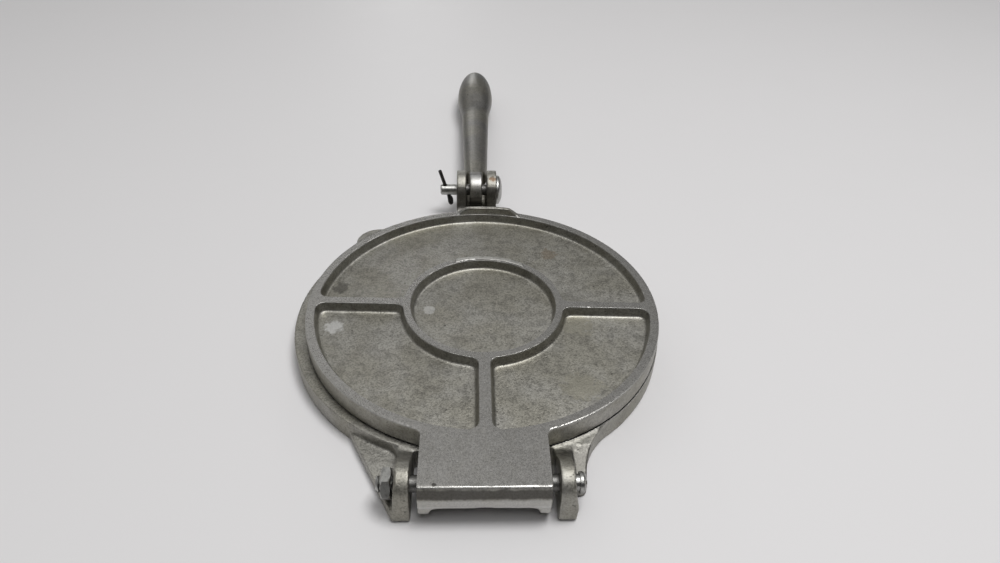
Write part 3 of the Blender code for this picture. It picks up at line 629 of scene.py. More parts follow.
class FinishSettings(bpy.types.PropertyGroup):
    """Colours of the metals and of the floor."""

    cast: colour("As cast", "Aluminium as the sand leaves it", (0.44, 0.43, 0.395))
    olive: colour("Stain", "Old oil dried into the pockets", (0.34, 0.325, 0.27))
    # dirt_and_shade darkens the grain and pits. It is also painted shade in gaps, in the fork's slot and on
    # faces turned to the front
    dirt_and_shade: colour("Soot", "Dark dirt in the grain and the corners", (0.07, 0.066, 0.060))
    ground: colour("Ground", "Aluminium where it is ground back", (0.52, 0.51, 0.49))
    # bare_and_highlight is worn and scraped metal. In two bands it is also a painted highlight and a painted
    # reflection
    bare_and_highlight: colour("Bare", "Aluminium scraped bright", (0.80, 0.80, 0.79))
    brown: colour("Brown", "Brown stains", (0.25, 0.19, 0.13))
    handle: colour("Handle", "Aluminium of the lever, dulled by hands", (0.26, 0.255, 0.245))
    steel: colour("Steel", "Dull plated steel", (0.38, 0.38, 0.36))
    rust: colour("Rust", "Rust on the fork", (0.12, 0.055, 0.018))
    wire: colour("Wire", "Blackened wire of the cotter", (0.014, 0.013, 0.012))
    floor: colour("Floor", "Pale floor", (0.74, 0.73, 0.735))


# How far from a ground height its grinding and the wear of its edges reach, and how soft a band's edge is
GROUND_DEPTH = 0.0002
WORN_DEPTH = 0.0010
BAND_EDGE = 0.0006

# How fine the marks are, as noise scales, and how deep their relief is
SLOW_SCALE = 42.0
MOTTLE_SCALE = 230.0
RAGGED_SCALE = 420.0
PIT_SCALE = 560.0
GRAIN_SCALE = 1250.0
SCRATCH_SCALE = 2400.0
SPECK_SCALE = 2800.0
STEEL_MOTTLE_SCALE = 520.0
STEEL_GRAIN_SCALE = 3500.0
WIRE_SCALE = 900.0
FLOOR_SCALE = 30.0
CAST_RELIEF = 0.00014
STEEL_RELIEF = 0.00004
WIRE_RELIEF = 0.00005

# Roughness of each casting where it isn't ground
BASE_ROUGHNESS = 0.50
LID_ROUGHNESS = 0.46
LEVER_ROUGHNESS = 0.43

# Marks on the castings, stains and pits and some painted shade: place about the lid's middle, radius, colour
# and strength
LID_MARKS = (
    ((-0.0690, -0.0128, 0.0153), 0.0052, "bare_and_highlight", 0.60),
    ((-0.0259, -0.0004, 0.0153), 0.0034, "bare_and_highlight", 0.45),
    ((-0.0696, 0.0172, 0.0153), 0.0050, "dirt_and_shade", 0.50),
    ((0.0350, 0.0466, 0.0153), 0.0050, "brown", 0.45),
    ((0.0413, -0.0512, 0.0153), 0.0100, "olive", 0.80),
    ((0.0434, -0.0111, 0.0153), 0.0090, "olive", 0.80),
    ((-0.0191, -0.1042, 0.0205), 0.0010, "dirt_and_shade", 0.85),
)
BASE_MARKS = (
    ((0.0308, -0.1026, 0.0208), 0.0007, "dirt_and_shade", 0.90),
    ((0.0318, -0.1003, 0.0209), 0.0006, "dirt_and_shade", 0.80),
    ((0.0068, 0.1075, 0.0268), 0.0022, "rust", 0.75),
    ((0.0385, -0.0880, 0.0080), 0.0130, "dirt_and_shade", 0.62),
    # painted shade in the fork's slot, under the lever's eye
    ((FORK_OFFSET, FORK_REACH - 0.0040, 0.0075), 0.0095, "dirt_and_shade", 0.96),
    # painted shade in the gaps between the hinge ears and the lid's block, one on each side
    ((HINGE_OFFSET - 0.0262, -0.0890, 0.0070), 0.0065, "dirt_and_shade", 0.85),
    ((HINGE_OFFSET + 0.0262, -0.0890, 0.0070), 0.0065, "dirt_and_shade", 0.85),
)

# Bands painted on faces turned to the front, most of them painted shade, painted highlights and a painted
# reflection: place along Y, reach, low, high, strength, colour
LID_BANDS = (
    # a darker band across the upper front of the hinge block
    (HINGE_PLACE.y - 0.0092, 0.0026, 0.0152, 0.0194, 0.80, "dirt_and_shade"),
    # painted reflection: a lighter band on the lower front of the hinge block
    (HINGE_PLACE.y - 0.0092, 0.0030, 0.0030, 0.0146, 0.30, "bare_and_highlight"),
)
# painted shade: a dark band down the front faces of the fork's ears
BASE_SHADE_BANDS = ((PIVOT_PLACE.y - 0.0115, 0.0022, 0.0100, 0.0245, 0.72, "dirt_and_shade"),)
LEVER_LIGHT_BANDS = (
    # painted shade: the lower front of the lever's eye
    (PIVOT_PLACE.y - 0.0100, 0.0050, 0.0040, 0.0175, 0.78, "dirt_and_shade"),
    # painted highlight: a bright band over the top of the lever's eye
    (PIVOT_PLACE.y - 0.0050, 0.0040, 0.0240, 0.0280, 0.35, "bare_and_highlight"),
)


def banded(finish, tone, colours, bands, mottle):
    """A tone under its bands, most of them painted shade and painted highlights, whose edges are soft and
    wavy.
    """
    _, y, z = finish.axes()
    wavy = z + (mottle - 0.5) * BAND_EDGE * 4
    for middle, reach, low, high, strength, band_colour in bands:
        band = abs(y - middle).rise(reach + BAND_EDGE, reach)
        band = band * wavy.rise(low - BAND_EDGE, low + BAND_EDGE)
        band = band * wavy.rise(high + BAND_EDGE, high - BAND_EDGE)
        tone = finish.mix(band * strength, tone, getattr(colours, band_colour))
    return tone


def marked(finish, tone, colours, marks):
    """A tone under its ragged marks."""
    for place, radius, mark_colour, strength in marks:
        spot = finish.near(Vector(place) + PLATE_MIDDLE, radius, radius * 1.6)
        tone = finish.mix(spot * strength, tone, getattr(colours, mark_colour))
    return tone


def grinding(finish, heights, reach):
    """How far a place is ground back at one of the heights, and how far it is worn beside them."""
    _, _, z = finish.axes()
    away = finish.distance(finish.stretched((1.0, 1.0, 0.0)), PLATE_MIDDLE)
    inside = away.rise(reach + BAND_EDGE, reach)
    ground = worn = 0.0
    for height in heights:
        away = abs(z - height)
        ground = away.rise(GROUND_DEPTH, GROUND_DEPTH * 0.4) * inside + ground
        worn = away.rise(WORN_DEPTH, 0.0) * inside + worn
    return ground, worn


def cast_finish(name, colours, plain, dull, heights=(), marks=(), bands=(), reach=1.0):
    """Sand-cast aluminium of a plain colour and a dull roughness, ground back at some heights.

    The grinding ends at a reach from the lid's middle. Marks and bands lie over it, some of them painted
    shade and painted highlights.
    """
    finish = Finish(name, metallic=1.0)
    ground, worn = grinding(finish, heights, reach)
    slow = finish.noise(SLOW_SCALE, 3.0, 0.55)
    mottle = finish.noise(MOTTLE_SCALE, 4.0, 0.6)
    grain = finish.noise(GRAIN_SCALE, 3.0, 0.7)
    speck = finish.noise(SPECK_SCALE, 2.0, 0.6)
    pits = finish.noise(PIT_SCALE, 1.5, 0.5).rise(0.30, 0.23)
    tone = finish.mix(slow.rise(0.35, 0.65) * 0.65, plain, colours.olive)
    tone = finish.mix(mottle.rise(0.56, 0.32) * 0.24, tone, colours.dirt_and_shade)
    tone = finish.mix(grain.rise(0.58, 0.36) * 0.42, tone, colours.dirt_and_shade)
    tone = finish.mix(pits * 0.6, tone, colours.dirt_and_shade)
    shine = finish.mix(mottle.rise(0.60, 0.32) * 0.35, colours.ground, plain)
    shine = finish.mix(grain.rise(0.58, 0.36) * 0.28, shine, colours.dirt_and_shade)
    shine = finish.mix(speck.rise(0.60, 0.38) * 0.18, shine, colours.dirt_and_shade)
    tone = finish.mix(ground, tone, shine)
    tone = banded(finish, tone, colours, bands, mottle)
    tone = marked(finish, tone, colours, marks)
    tone = finish.mix(worn * (1 - ground) * 0.50, tone, colours.bare_and_highlight)
    finish.wire("Base Color", tone)
    rough = dull + (mottle - 0.5) * 0.2 + (grain - 0.5) * 0.25
    smooth = 0.29 + (speck - 0.5) * 0.22 + (slow - 0.5) * 0.14
    finish.wire("Roughness", rough * (1 - ground) + smooth * ground)
    relief = grain * 0.8 + mottle + speck * 0.25 - pits * 0.8
    scratch = finish.noise(SCRATCH_SCALE, 2.0, 0.6, finish.stretched((1.0, 0.2, 1.0)))
    finish.bump(relief * (1 - ground * 0.8) + scratch * ground * 0.2, CAST_RELIEF)
    return finish.material


def steel_finish(name, colours, middle, reach, height=0.0):
    """Dull plated steel, darkened within a reach of a middle along X by old oil and painted shade, and below
    a height by painted shade.
    """
    finish = Finish(name, metallic=1.0)
    x, _, z = finish.axes()
    mottle = finish.noise(STEEL_MOTTLE_SCALE, 4.0, 0.6)
    grain = finish.noise(STEEL_GRAIN_SCALE, 2.0, 0.6)
    # painted shade with old oil on the rod inside the hinge or the fork, and painted shade on the underside
    # below the height
    within = abs(x - middle).rise(reach + BAND_EDGE, reach)
    below = z.rise(height, height - BAND_EDGE * 2) * 0.85
    oil_and_shade = within.at_least(below)
    tone = finish.mix(mottle.rise(0.58, 0.34) * 0.55, colours.steel, colours.dirt_and_shade)
    tone = finish.mix(oil_and_shade * 0.96, tone, colours.dirt_and_shade)
    tone = finish.mix(grain.rise(0.66, 0.5) * 0.2, tone, colours.bare_and_highlight)
    finish.wire("Base Color", tone)
    finish.wire("Roughness", 0.20 + mottle * 0.26 + (grain - 0.5) * 0.1 + oil_and_shade * 0.15)
    finish.bump(grain * 0.6 + mottle, STEEL_RELIEF)
    return finish.material


def wire_finish(name, colours):
    """Blackened wire with a little rust."""
    finish = Finish(name, roughness=0.45)
    mottle = finish.noise(WIRE_SCALE, 3.0, 0.6)
    finish.wire("Base Color", finish.mix(mottle.rise(0.55, 0.75) * 0.25, colours.wire, colours.rust))
    finish.bump(mottle, WIRE_RELIEF)
    return finish.material


# Castings

def tabbed_circle(radius, left, right, reach, fillet):
    """Circle with a straight-sided tab towards -Y between two X places, run into it by fillets."""
    near = Vector((right + fillet, -math.sqrt((radius + fillet) ** 2 - (right + fillet) ** 2)))
    far = Vector((left - fillet, -math.sqrt((radius + fillet) ** 2 - (left - fillet) ** 2)))
    start = math.degrees(math.atan2(near.y, near.x))
    end = math.degrees(math.atan2(far.y, far.x))
    points = arc((0, 0), radius, start, end + 360, PLATE_SIDES)
    points += arc(far, fillet, end + 180, 0, CORNER_STEPS)[1:]
    points += [Vector((left, -reach)), Vector((right, -reach))]
    points += arc(near, fillet, 180, 180 + start, CORNER_STEPS)[:-1]
    return tidy(points)


def ear_walls(plate):
    """How far the inner and outer walls of the hinge ears stand from the middle of the hinge."""
    inner = plate.block_width / 2 + EAR_SIDE_GAP
    return inner, inner + EAR_THICKNESS


def wall_to_disc(plate, side, wall, radius):
    """A concave fillet from a wall square to +X, on one side of the hinge, to the base's disc."""
    disc = Vector((side * BASE_OFFSET, BASE_SETBACK))
    reach = plate.base_radius - BITE + radius
    centre_x = wall + radius
    centre = Vector((centre_x, disc.y - math.sqrt(reach ** 2 - (centre_x - disc.x) ** 2)))
    ray = centre - disc
    tangent = math.degrees(math.atan2(-ray.y, -ray.x))
    points = arc(centre, radius, 180, tangent, CORNER_STEPS)
    points.append(disc + ray * (plate.base_radius - plate.base_rim_width) / ray.length)
    return points


def hinge_arm(plate, side):
    """One hinge ear, ramped down into the arm that carries it, on the side of +X or -X."""
    inner, outer = [wall + side * HINGE_OFFSET for wall in ear_walls(plate)]
    front = -HINGE_REACH - EAR_RADIUS
    root = -plate.base_radius * ROOT_SHARE
    top = HINGE_HEIGHT + EAR_RADIUS
    slope = math.radians(EAR_RAMP_ANGLE)
    ramp_top = -HINGE_REACH + EAR_RADIUS * math.tan(slope / 2)
    ramp_foot = ramp_top + (top - ARM_HEIGHT) / math.tan(slope)
    outline = rounded([
        (front, 0, CAST_CORNER),
        (front + EAR_FOOT_LENGTH, 0, 0),
        (root, 0, 0),
        (root, ARM_HEIGHT, 0),
        (ramp_foot, ARM_HEIGHT, EAR_RAMP_FILLET),
        (ramp_top, top, EAR_RADIUS),
        (front, top, EAR_RADIUS),
    ])
    ear = slab("ear", outline, *sorted((side * inner, side * outer)), along="X")
    modify(ear, "TRIANGULATE")
    modify(ear, "SUBSURF", subdivision_type="SIMPLE", levels=EAR_SPLITS, render_levels=EAR_SPLITS)
    for vertex in ear.data.vertices:
        share = (side * vertex.co.x - inner) / EAR_THICKNESS
        spread = (HINGE_HEIGHT - vertex.co.z) * math.tan(math.radians(EAR_DRAFT_ANGLE))
        away = (vertex.co.z - EAR_BULGE_HEIGHT) / EAR_BULGE_REACH
        if side > 0:
            spread += EAR_BULGE * math.exp(-away * away)
        vertex.co.x += side * spread * share
    inside = inner + EAR_THICKNESS / 2
    fillet = wall_to_disc(plate, side, outer - BITE, ARM_FILLET_RADIUS)
    gusset = [Vector((inside, root)), Vector((inside, fillet[0].y))] + fillet
    if side < 0:
        gusset = [Vector((-p.x, p.y)) for p in reversed(gusset)]
    return [ear, slab("gusset", gusset, 0, GUSSET_HEIGHT)]


def left_web(plate):
    """The straight low web outside the left arm."""
    wall = HINGE_OFFSET - ear_walls(plate)[1] - HINGE_HEIGHT * math.tan(math.radians(EAR_DRAFT_ANGLE))
    foot = Vector((wall - WEB_FOOT_WIDTH, -HINGE_REACH - EAR_RADIUS + WEB_SETBACK))
    inside = wall + EAR_THICKNESS * 2 / 3
    edge = Vector((BASE_OFFSET, BASE_SETBACK))
    edge += plate.base_radius * Vector((cos(WEB_START_ANGLE), sin(WEB_START_ANGLE)))
    edge += (edge - foot).normalized() * plate.base_rim_width
    outline = [edge, foot, Vector((inside, foot.y)), Vector((inside, -plate.base_radius * ROOT_SHARE))]
    return slab("left_web", outline, 0, WEB_HEIGHT)


def right_web(plate):
    """The web outside the right arm, swept into the disc and sloped down from its top."""
    ear_wall = HINGE_OFFSET + ear_walls(plate)[1]
    wall = ear_wall + RIGHT_WEB_WIDTH
    inside = ear_wall - EAR_THICKNESS / 3
    end = -HINGE_REACH - EAR_RADIUS + RIGHT_WEB_SETBACK
    fillet = wall_to_disc(plate, 1, wall, RIGHT_WEB_FILLET)
    outline = rounded([(inside, end, 0), (wall, end, RIGHT_WEB_CORNER), (wall, fillet[0].y, 0)])[:-1]
    outline += fillet
    outline.append(Vector((inside, -plate.base_radius * ROOT_SHARE)))
    web = slab("right_web", outline, 0, plate.base_thickness - BITE)
    shore = BASE_SETBACK - math.sqrt(plate.base_radius ** 2 - (ear_wall - BASE_OFFSET) ** 2)
    top = plate.base_thickness + OVERRUN
    slope = slab("slope", [
        Vector((end - OVERRUN, WEB_HEIGHT)),
        Vector((end, WEB_HEIGHT)),
        Vector((shore, plate.base_thickness)),
        Vector((shore, top)),
        Vector((end - OVERRUN, top)),
    ], inside - OVERRUN, plate.base_radius, along="X")
    return combine(web, [slope], "DIFFERENCE")


def fork(plate):
    """The rear block with its slot, cut to two round-topped ears about the lever pin."""
    front = FORK_REACH - FORK_EAR_RADIUS
    back = FORK_REACH + FORK_EAR_RADIUS
    top = PIN_HEIGHT + FORK_EAR_RADIUS
    neck = plate.lid_radius - plate.rim_width
    outline = rounded([
        (neck, 0, 0),
        (back, 0, CAST_CORNER),
        (back, top, FORK_EAR_RADIUS),
        (front, top, FORK_EAR_RADIUS),
        (front, FORK_NECK_HEIGHT, FORK_FILLET_RADIUS),
        (neck, FORK_NECK_HEIGHT, 0),
    ])
    body = slab("fork", outline, FORK_OFFSET - FORK_HALF, FORK_OFFSET + FORK_HALF, along="X")
    ahead = front - OVERRUN
    half = FORK_SLOT_WIDTH / 2
    slot = slab("slot", rounded([
        (ahead, FORK_FLOOR_HEIGHT, FORK_FILLET_RADIUS),
        (back - FORK_SILL_DEPTH, FORK_FLOOR_HEIGHT, 0),
        (back - OVERRUN, FORK_SILL_HEIGHT, 0),
        (back + OVERRUN, FORK_SILL_HEIGHT, 0),
        (back + OVERRUN, top + OVERRUN, 0),
        (ahead, top + OVERRUN, 0),
    ]), FORK_OFFSET - half, FORK_OFFSET + half, along="X")
    return body, slot


def bore(reach, y, z):
    """Cutter for a round hole for a bolt or a pin."""
    return turned("bore", [(-reach, BORE_RADIUS), (reach, BORE_RADIUS)], centre=(y, z))


def build_base(plate, settings):
    """The lower casting, from its disc, fork, arms and webs."""
    top = plate.base_thickness
    middle = Matrix.Translation((BASE_OFFSET, BASE_SETBACK, 0))
    disc = arc((0, 0), plate.base_radius, 0, 360, PLATE_SIDES)[:-1]
    body = transform(slab("base_casting", disc, 0, top + settings.allowance), middle)
    fork_body, fork_slot = fork(plate)
    arms = hinge_arm(plate, 1) + hinge_arm(plate, -1)
    combine(body, [fork_body, left_web(plate), right_web(plate)] + arms)
    ribs = [(angle, plate.base_rib_width) for angle in BASE_RIB_ANGLES]
    rim = plate.base_radius - plate.base_rim_width
    cutters = [transform(cutter, middle) for cutter in pockets(plate, ribs, rim, 0, 1)]
    combine(body, [fork_slot] + cutters, "DIFFERENCE")
    cast(body, settings)
    grind(body, top, lambda place: place.xy.length < plate.lid_radius)
    grind(body, BITE, lambda place: True, up=-1)
    reach = ear_walls(plate)[1] + OVERRUN * 2
    bores = [bore(reach, -HINGE_REACH, HINGE_HEIGHT), bore(reach, FORK_REACH, PIN_HEIGHT)]
    return combine(body, bores, "DIFFERENCE")


def hinge_block(plate, top):
    """The lid's hinge block and what hollows it: an arch through the skirt, a hollow under the skin."""
    axis_y = -HINGE_REACH
    axis_z = HINGE_HEIGHT
    low_face = plate.base_thickness + BORE_CLEARANCE
    rear = -(plate.lid_radius - plate.rim_width) * ROOT_SHARE
    outline = rounded([
        (axis_y - BLOCK_TOP_FRONT, top, BLOCK_EDGE),
        (axis_y - BLOCK_BELLY, axis_z + BLOCK_BELLY_RISE, BLOCK_BELLY_RADIUS),
        (axis_y - BLOCK_FRONT, axis_z - BLOCK_DROP, BLOCK_LOBE_RADIUS),
        (axis_y + BLOCK_FRONT, axis_z - BLOCK_DROP, BLOCK_LOBE_RADIUS),
        (axis_y + BLOCK_FRONT, low_face, 0),
        (rear, low_face, 0),
        (rear, top, 0),
    ])
    half = plate.block_width / 2
    body = slab("hinge_block", outline, HINGE_OFFSET - half, HINGE_OFFSET + half, along="X")
    left = HINGE_OFFSET - half + BLOCK_CHEEK
    right = HINGE_OFFSET + half - BLOCK_CHEEK
    skirt = axis_z - BLOCK_SKIRT_DROP
    low = axis_z - BLOCK_DROP - OVERRUN
    arch = slab("arch", rounded([
        (left, low, 0),
        (right, low, 0),
        (right, skirt, BLOCK_ARCH_RADIUS),
        (HINGE_OFFSET, skirt + BLOCK_ARCH_RISE, 0),
        (left, skirt, BLOCK_ARCH_RADIUS),
    ]), axis_y - BLOCK_BELLY - OVERRUN, axis_y, along="Y")
    behind = axis_y + BLOCK_FRONT + OVERRUN
    ahead = axis_y - BLOCK_FRONT + BLOCK_SKIN
    hollow = slab("hollow", rounded([
        (ahead, low, 0),
        (behind, low, 0),
        (behind, low_face, 0),
        (axis_y + BLOCK_FRONT, top - BLOCK_SKIN, BLOCK_HOLLOW_RADIUS),
        (ahead, top - BLOCK_SKIN, BLOCK_HOLLOW_RADIUS),
    ]), left, right, along="X")
    return body, [arch, hollow]


def press_pad(plate, top):
    """The raised stretch of the rim: a turned ring with a sloped back, trimmed by a wedge."""
    inner = plate.lid_radius - plate.rim_width
    outer = plate.lid_radius
    crest = top + PAD_RISE
    wedge = slab("press_pad", rounded([
        (PAD_OFFSET - PAD_FOOT_WIDTH / 2, top - PAD_ROOT, 0),
        (PAD_OFFSET + PAD_FOOT_WIDTH / 2, top - PAD_ROOT, 0),
        (PAD_OFFSET + PAD_FOOT_WIDTH / 2, top, 0),
        (PAD_OFFSET + PAD_TOP_WIDTH / 2, crest, PAD_ROOT),
        (PAD_OFFSET - PAD_TOP_WIDTH / 2, crest, PAD_ROOT),
        (PAD_OFFSET - PAD_FOOT_WIDTH / 2, top, 0),
    ]), inner - PAD_TOP_WIDTH / 2, outer + OVERRUN, along="Y")
    low = top - PAD_ROOT - OVERRUN
    round_back = turned("pad_back", [
        (low, outer),
        (top, outer),
        (crest, inner + PAD_TOP_DEPTH),
        (crest + OVERRUN, inner + PAD_TOP_DEPTH),
    ], along="Z", sides=PLATE_SIDES)
    reach = crest + OVERRUN * 2
    round_front = turned("pad_front", [(low - OVERRUN, inner), (reach, inner)], along="Z", sides=PLATE_SIDES)
    combine(wedge, [round_back], "INTERSECT")
    return combine(wedge, [round_front], "DIFFERENCE")


def build_lid(plate, settings):
    """The upper casting, from its disc, hinge block, gate stub and press pad."""
    bottom = plate.base_thickness + BORE_CLEARANCE
    top = bottom + plate.lid_thickness
    proud = top + settings.allowance
    half = plate.block_width / 2
    left, right = HINGE_OFFSET - half, HINGE_OFFSET + half
    outline = tabbed_circle(plate.lid_radius, left, right, HINGE_REACH, BLOCK_ROOT_FILLET)
    body = slab("lid_casting", outline, bottom, proud)
    mesh = edit(body, "EDGE")
    for side in mesh.edges:
        side.select_set(all(abs(vertex.co.z - proud) < FLAT for vertex in side.verts))
    bmesh.update_edit_mesh(body.data)
    bpy.ops.mesh.bevel(offset=LID_SHOULDER, segments=4)
    done(body)
    block, hollows = hinge_block(plate, proud)
    place = STUB_REACH - STUB_RADIUS
    stub = slab(
        "gate_stub",
        arc((place * cos(STUB_ANGLE), place * sin(STUB_ANGLE)), STUB_RADIUS, 0, 360, DRUM_SIDES)[:-1],
        top - STUB_SINK - STUB_THICKNESS, top - STUB_SINK,
    )
    combine(body, [block, stub])
    ribs = list(zip(LID_RIB_ANGLES, (plate.side_rib_width, plate.side_rib_width, plate.front_rib_width)))
    rim = plate.lid_radius - plate.rim_width
    combine(body, hollows + pockets(plate, ribs, rim, proud, -1), "DIFFERENCE")
    combine(body, [press_pad(plate, top)])
    cast(body, settings)

    def on_pad(place):
        return place.y > 0 and abs(place.x - PAD_OFFSET) < PAD_FOOT_WIDTH / 2 + BITE

    grind(body, top, lambda place: not on_pad(place))
    grind(body, bottom, lambda place: place.xy.length < plate.lid_radius, up=-1)
    return combine(body, [bore(half + OVERRUN, -HINGE_REACH, HINGE_HEIGHT)], "DIFFERENCE")


def grip_size(distance):
    """Half width and half height of the grip at a distance from the pin: a slow swell, a round end."""
    start = LEVER_LENGTH - BULB_LENGTH
    full = BULB_DIAMETER / 2
    if distance > BULB_WIDEST:
        size = full * math.sqrt(max(0, 1 - ((distance - BULB_WIDEST) / (LEVER_LENGTH - BULB_WIDEST)) ** 2))
        return size, size
    swell = (1 - cos(180 * (distance - start) / (BULB_WIDEST - start))) / 2
    return [half + (full - half) * swell for half in (BAR_END_WIDTH / 2, BAR_HEIGHT / 2)]


def along_lever(place, half_width, half_height):
    """Puts an outline one unit wide at a place along the lever, at its size there."""
    return AXES["Y"] @ Matrix.Translation((0, 0, place)) @ Matrix.Diagonal((half_width, half_height, 1, 1))


def build_lever(settings):
    """The lever: a round eye on a tongue, a bar with a flat top and a bulb for the hand."""
    thick = TONGUE_THICKNESS / 2
    eye = slab("lever_casting", arc((0, 0), EYE_RADIUS, 0, 360, DRUM_SIDES)[:-1], -thick, thick, along="X")
    half = TONGUE_HEIGHT / 2
    tail = TONGUE_LENGTH + BAR_HEIGHT
    tongue = slab("tongue", rounded([
        (0, -half, 0), (tail, -half, 0), (tail, half, 0), (0, half, 0),
    ]), -thick, thick, along="X")
    start = LEVER_LENGTH - BULB_LENGTH
    ring = arc((0, 0), 1, 0, 360, DRUM_SIDES)[:-1]
    section = [Vector((p.x, math.copysign(abs(p.y) ** BAR_FULLNESS, p.y))) for p in ring]
    bar = swept("bar", section, [
        along_lever(TONGUE_LENGTH, BAR_START_WIDTH / 2, BAR_HEIGHT / 2),
        along_lever(start, BAR_END_WIDTH / 2, BAR_HEIGHT / 2),
        along_lever(BULB_WIDEST, BAR_END_WIDTH / 2 * BAR_SINK_SHARE, BAR_HEIGHT / 2 * BAR_SINK_SHARE),
    ])
    stations = []
    for step in range(BULB_STEPS):
        distance = start + BULB_LENGTH * sin(90 * step / BULB_STEPS)
        stations.append(along_lever(distance, *grip_size(distance)))
    bulb = swept("bulb", ring, stations)
    combine(eye, [tongue, bar, bulb])
    cast(eye, settings)
    combine(eye, [bore(EYE_RADIUS, 0, 0)], "DIFFERENCE")
    tilt = Matrix.Rotation(math.radians(-LEVER_REST_ANGLE), 4, "X")
    return transform(eye, Matrix.Translation(PIVOT_PLACE) @ tilt)


# Fasteners

def dome(start, edge, thickness, radius):
    """(place, radius) pairs of a head: a short straight edge, then a dome."""
    pairs = [(start, radius), (start + edge, radius)]
    rise = thickness - edge
    for step in range(1, DOME_STEPS):
        angle = 90 * step / DOME_STEPS
        pairs.append((start + edge + rise * sin(angle), radius * cos(angle)))
    return pairs


def thread(rod, low, high):
    """Sinks a helical groove into the skin of a rod along X, between two places."""
    for vertex in rod.data.vertices:
        if low < vertex.co.x < high and vertex.co.yz.length > ROD_RADIUS / 2:
            turn = math.atan2(vertex.co.z, vertex.co.y) / math.tau
            share = abs((vertex.co.x / THREAD_PITCH - turn) % 1 * 2 - 1)
            vertex.co.yz *= 1 - THREAD_DEPTH * share / vertex.co.yz.length


def fine_edges(piece):
    """Edges broken by a small bevel."""
    limit = math.radians(EDGE_ANGLE)
    modify(piece, "BEVEL", width=FASTENER_EDGE, segments=2, limit_method="ANGLE", angle_limit=limit)
    edit(piece)
    bpy.ops.mesh.select_all(action="SELECT")
    bpy.ops.mesh.remove_doubles(threshold=FLAT)
    bpy.ops.mesh.dissolve_degenerate(threshold=FLAT)
    return shade(done(piece))


def build_bolt(plate):
    """The slotted round-head bolt, its end threaded."""
    outer = ear_walls(plate)[1]
    tip = -outer - NUT_GAP - NUT_THICKNESS - BOLT_END_LENGTH
    seat = outer + BOLT_HEAD_GAP
    plain = tip + THREAD_LENGTH
    profile = [(tip, ROD_RADIUS - ROD_CHAMFER), (tip + ROD_CHAMFER, ROD_RADIUS)]
    steps = round(THREAD_LENGTH / THREAD_PITCH * THREAD_STEPS)
    for step in range(1, steps + 1):
        place = tip + ROD_CHAMFER + (plain - tip - ROD_CHAMFER) * step / steps
        profile.append((place, ROD_RADIUS))
    profile.append((seat, ROD_RADIUS))
    profile += dome(seat, BOLT_HEAD_EDGE, BOLT_HEAD_THICKNESS, BOLT_HEAD_RADIUS)
    bolt = turned("slotted_bolt", profile)
    thread(bolt, tip + ROD_CHAMFER / 2, plain)
    face = seat + BOLT_HEAD_THICKNESS
    half = BOLT_SLOT_WIDTH / 2
    long = BOLT_HEAD_RADIUS * 2
    slot = slab("slot", [
        Vector((-long, -half)), Vector((long, -half)), Vector((long, half)), Vector((-long, half)),
    ], face - BOLT_SLOT_DEPTH, face + OVERRUN, along="X")
    transform(slot, Matrix.Rotation(math.radians(BOLT_SLOT_ANGLE), 4, "X"))
    combine(bolt, [slot], "DIFFERENCE")
    return transform(bolt, Matrix.Translation(HINGE_PLACE))


def build_nut(plate):
    """The hexagon nut, chamfered on both faces."""
    right = -ear_walls(plate)[1] - NUT_GAP
    left = right - NUT_THICKNESS
    flat = NUT_FLATS / 2
    corner = flat / cos(30)
    nut = slab("hexagon_nut", arc((0, 0), corner, 0, 360, 6)[:-1], left, right, along="X")
    chamfer = turned("chamfer", [
        (left, flat), (left + NUT_CHAMFER, corner), (right - NUT_CHAMFER, corner), (right, flat),
    ])
    combine(nut, [chamfer], "INTERSECT")
    mouth = ROD_RADIUS + NUT_CHAMFER
    hole = turned("threaded_hole", [
        (left - BITE, mouth),
        (left + NUT_CHAMFER, BORE_RADIUS),
        (right - NUT_CHAMFER, BORE_RADIUS),
        (right + BITE, mouth),
    ])
    combine(nut, [hole], "DIFFERENCE")
    return transform(nut, Matrix.Translation(HINGE_PLACE))


def cotter_place():
    """Turns a line along X into the cotter's line through the lever pin, about the pin's middle."""
    place = -FORK_HALF - PIN_OVERHANG + COTTER_END_DISTANCE
    lean = Matrix.Rotation(math.radians(90 + COTTER_LEAN_ANGLE), 4, "Y")
    turn = Matrix.Rotation(math.radians(COTTER_TURN_ANGLE), 4, "X")
    return Matrix.Translation((place, 0, 0)) @ lean @ turn


def build_pin():
    """The domed lever pin, drilled for its cotter."""
    tip = -FORK_HALF - PIN_OVERHANG
    seat = FORK_HALF + PIN_HEAD_GAP
    profile = [(tip, ROD_RADIUS - ROD_CHAMFER), (tip + ROD_CHAMFER, ROD_RADIUS), (seat, ROD_RADIUS)]
    profile += dome(seat, PIN_HEAD_EDGE, PIN_HEAD_THICKNESS, PIN_HEAD_RADIUS)
    pin = turned("domed_pin", profile)
    long = ROD_RADIUS * 2
    radius = COTTER_RADIUS + BORE_CLEARANCE
    hole = turned("cotter_hole", [(-long, radius), (long, radius)])
    combine(pin, [transform(hole, cotter_place())], "DIFFERENCE")
    return transform(pin, Matrix.Translation(FORK_MIDDLE))


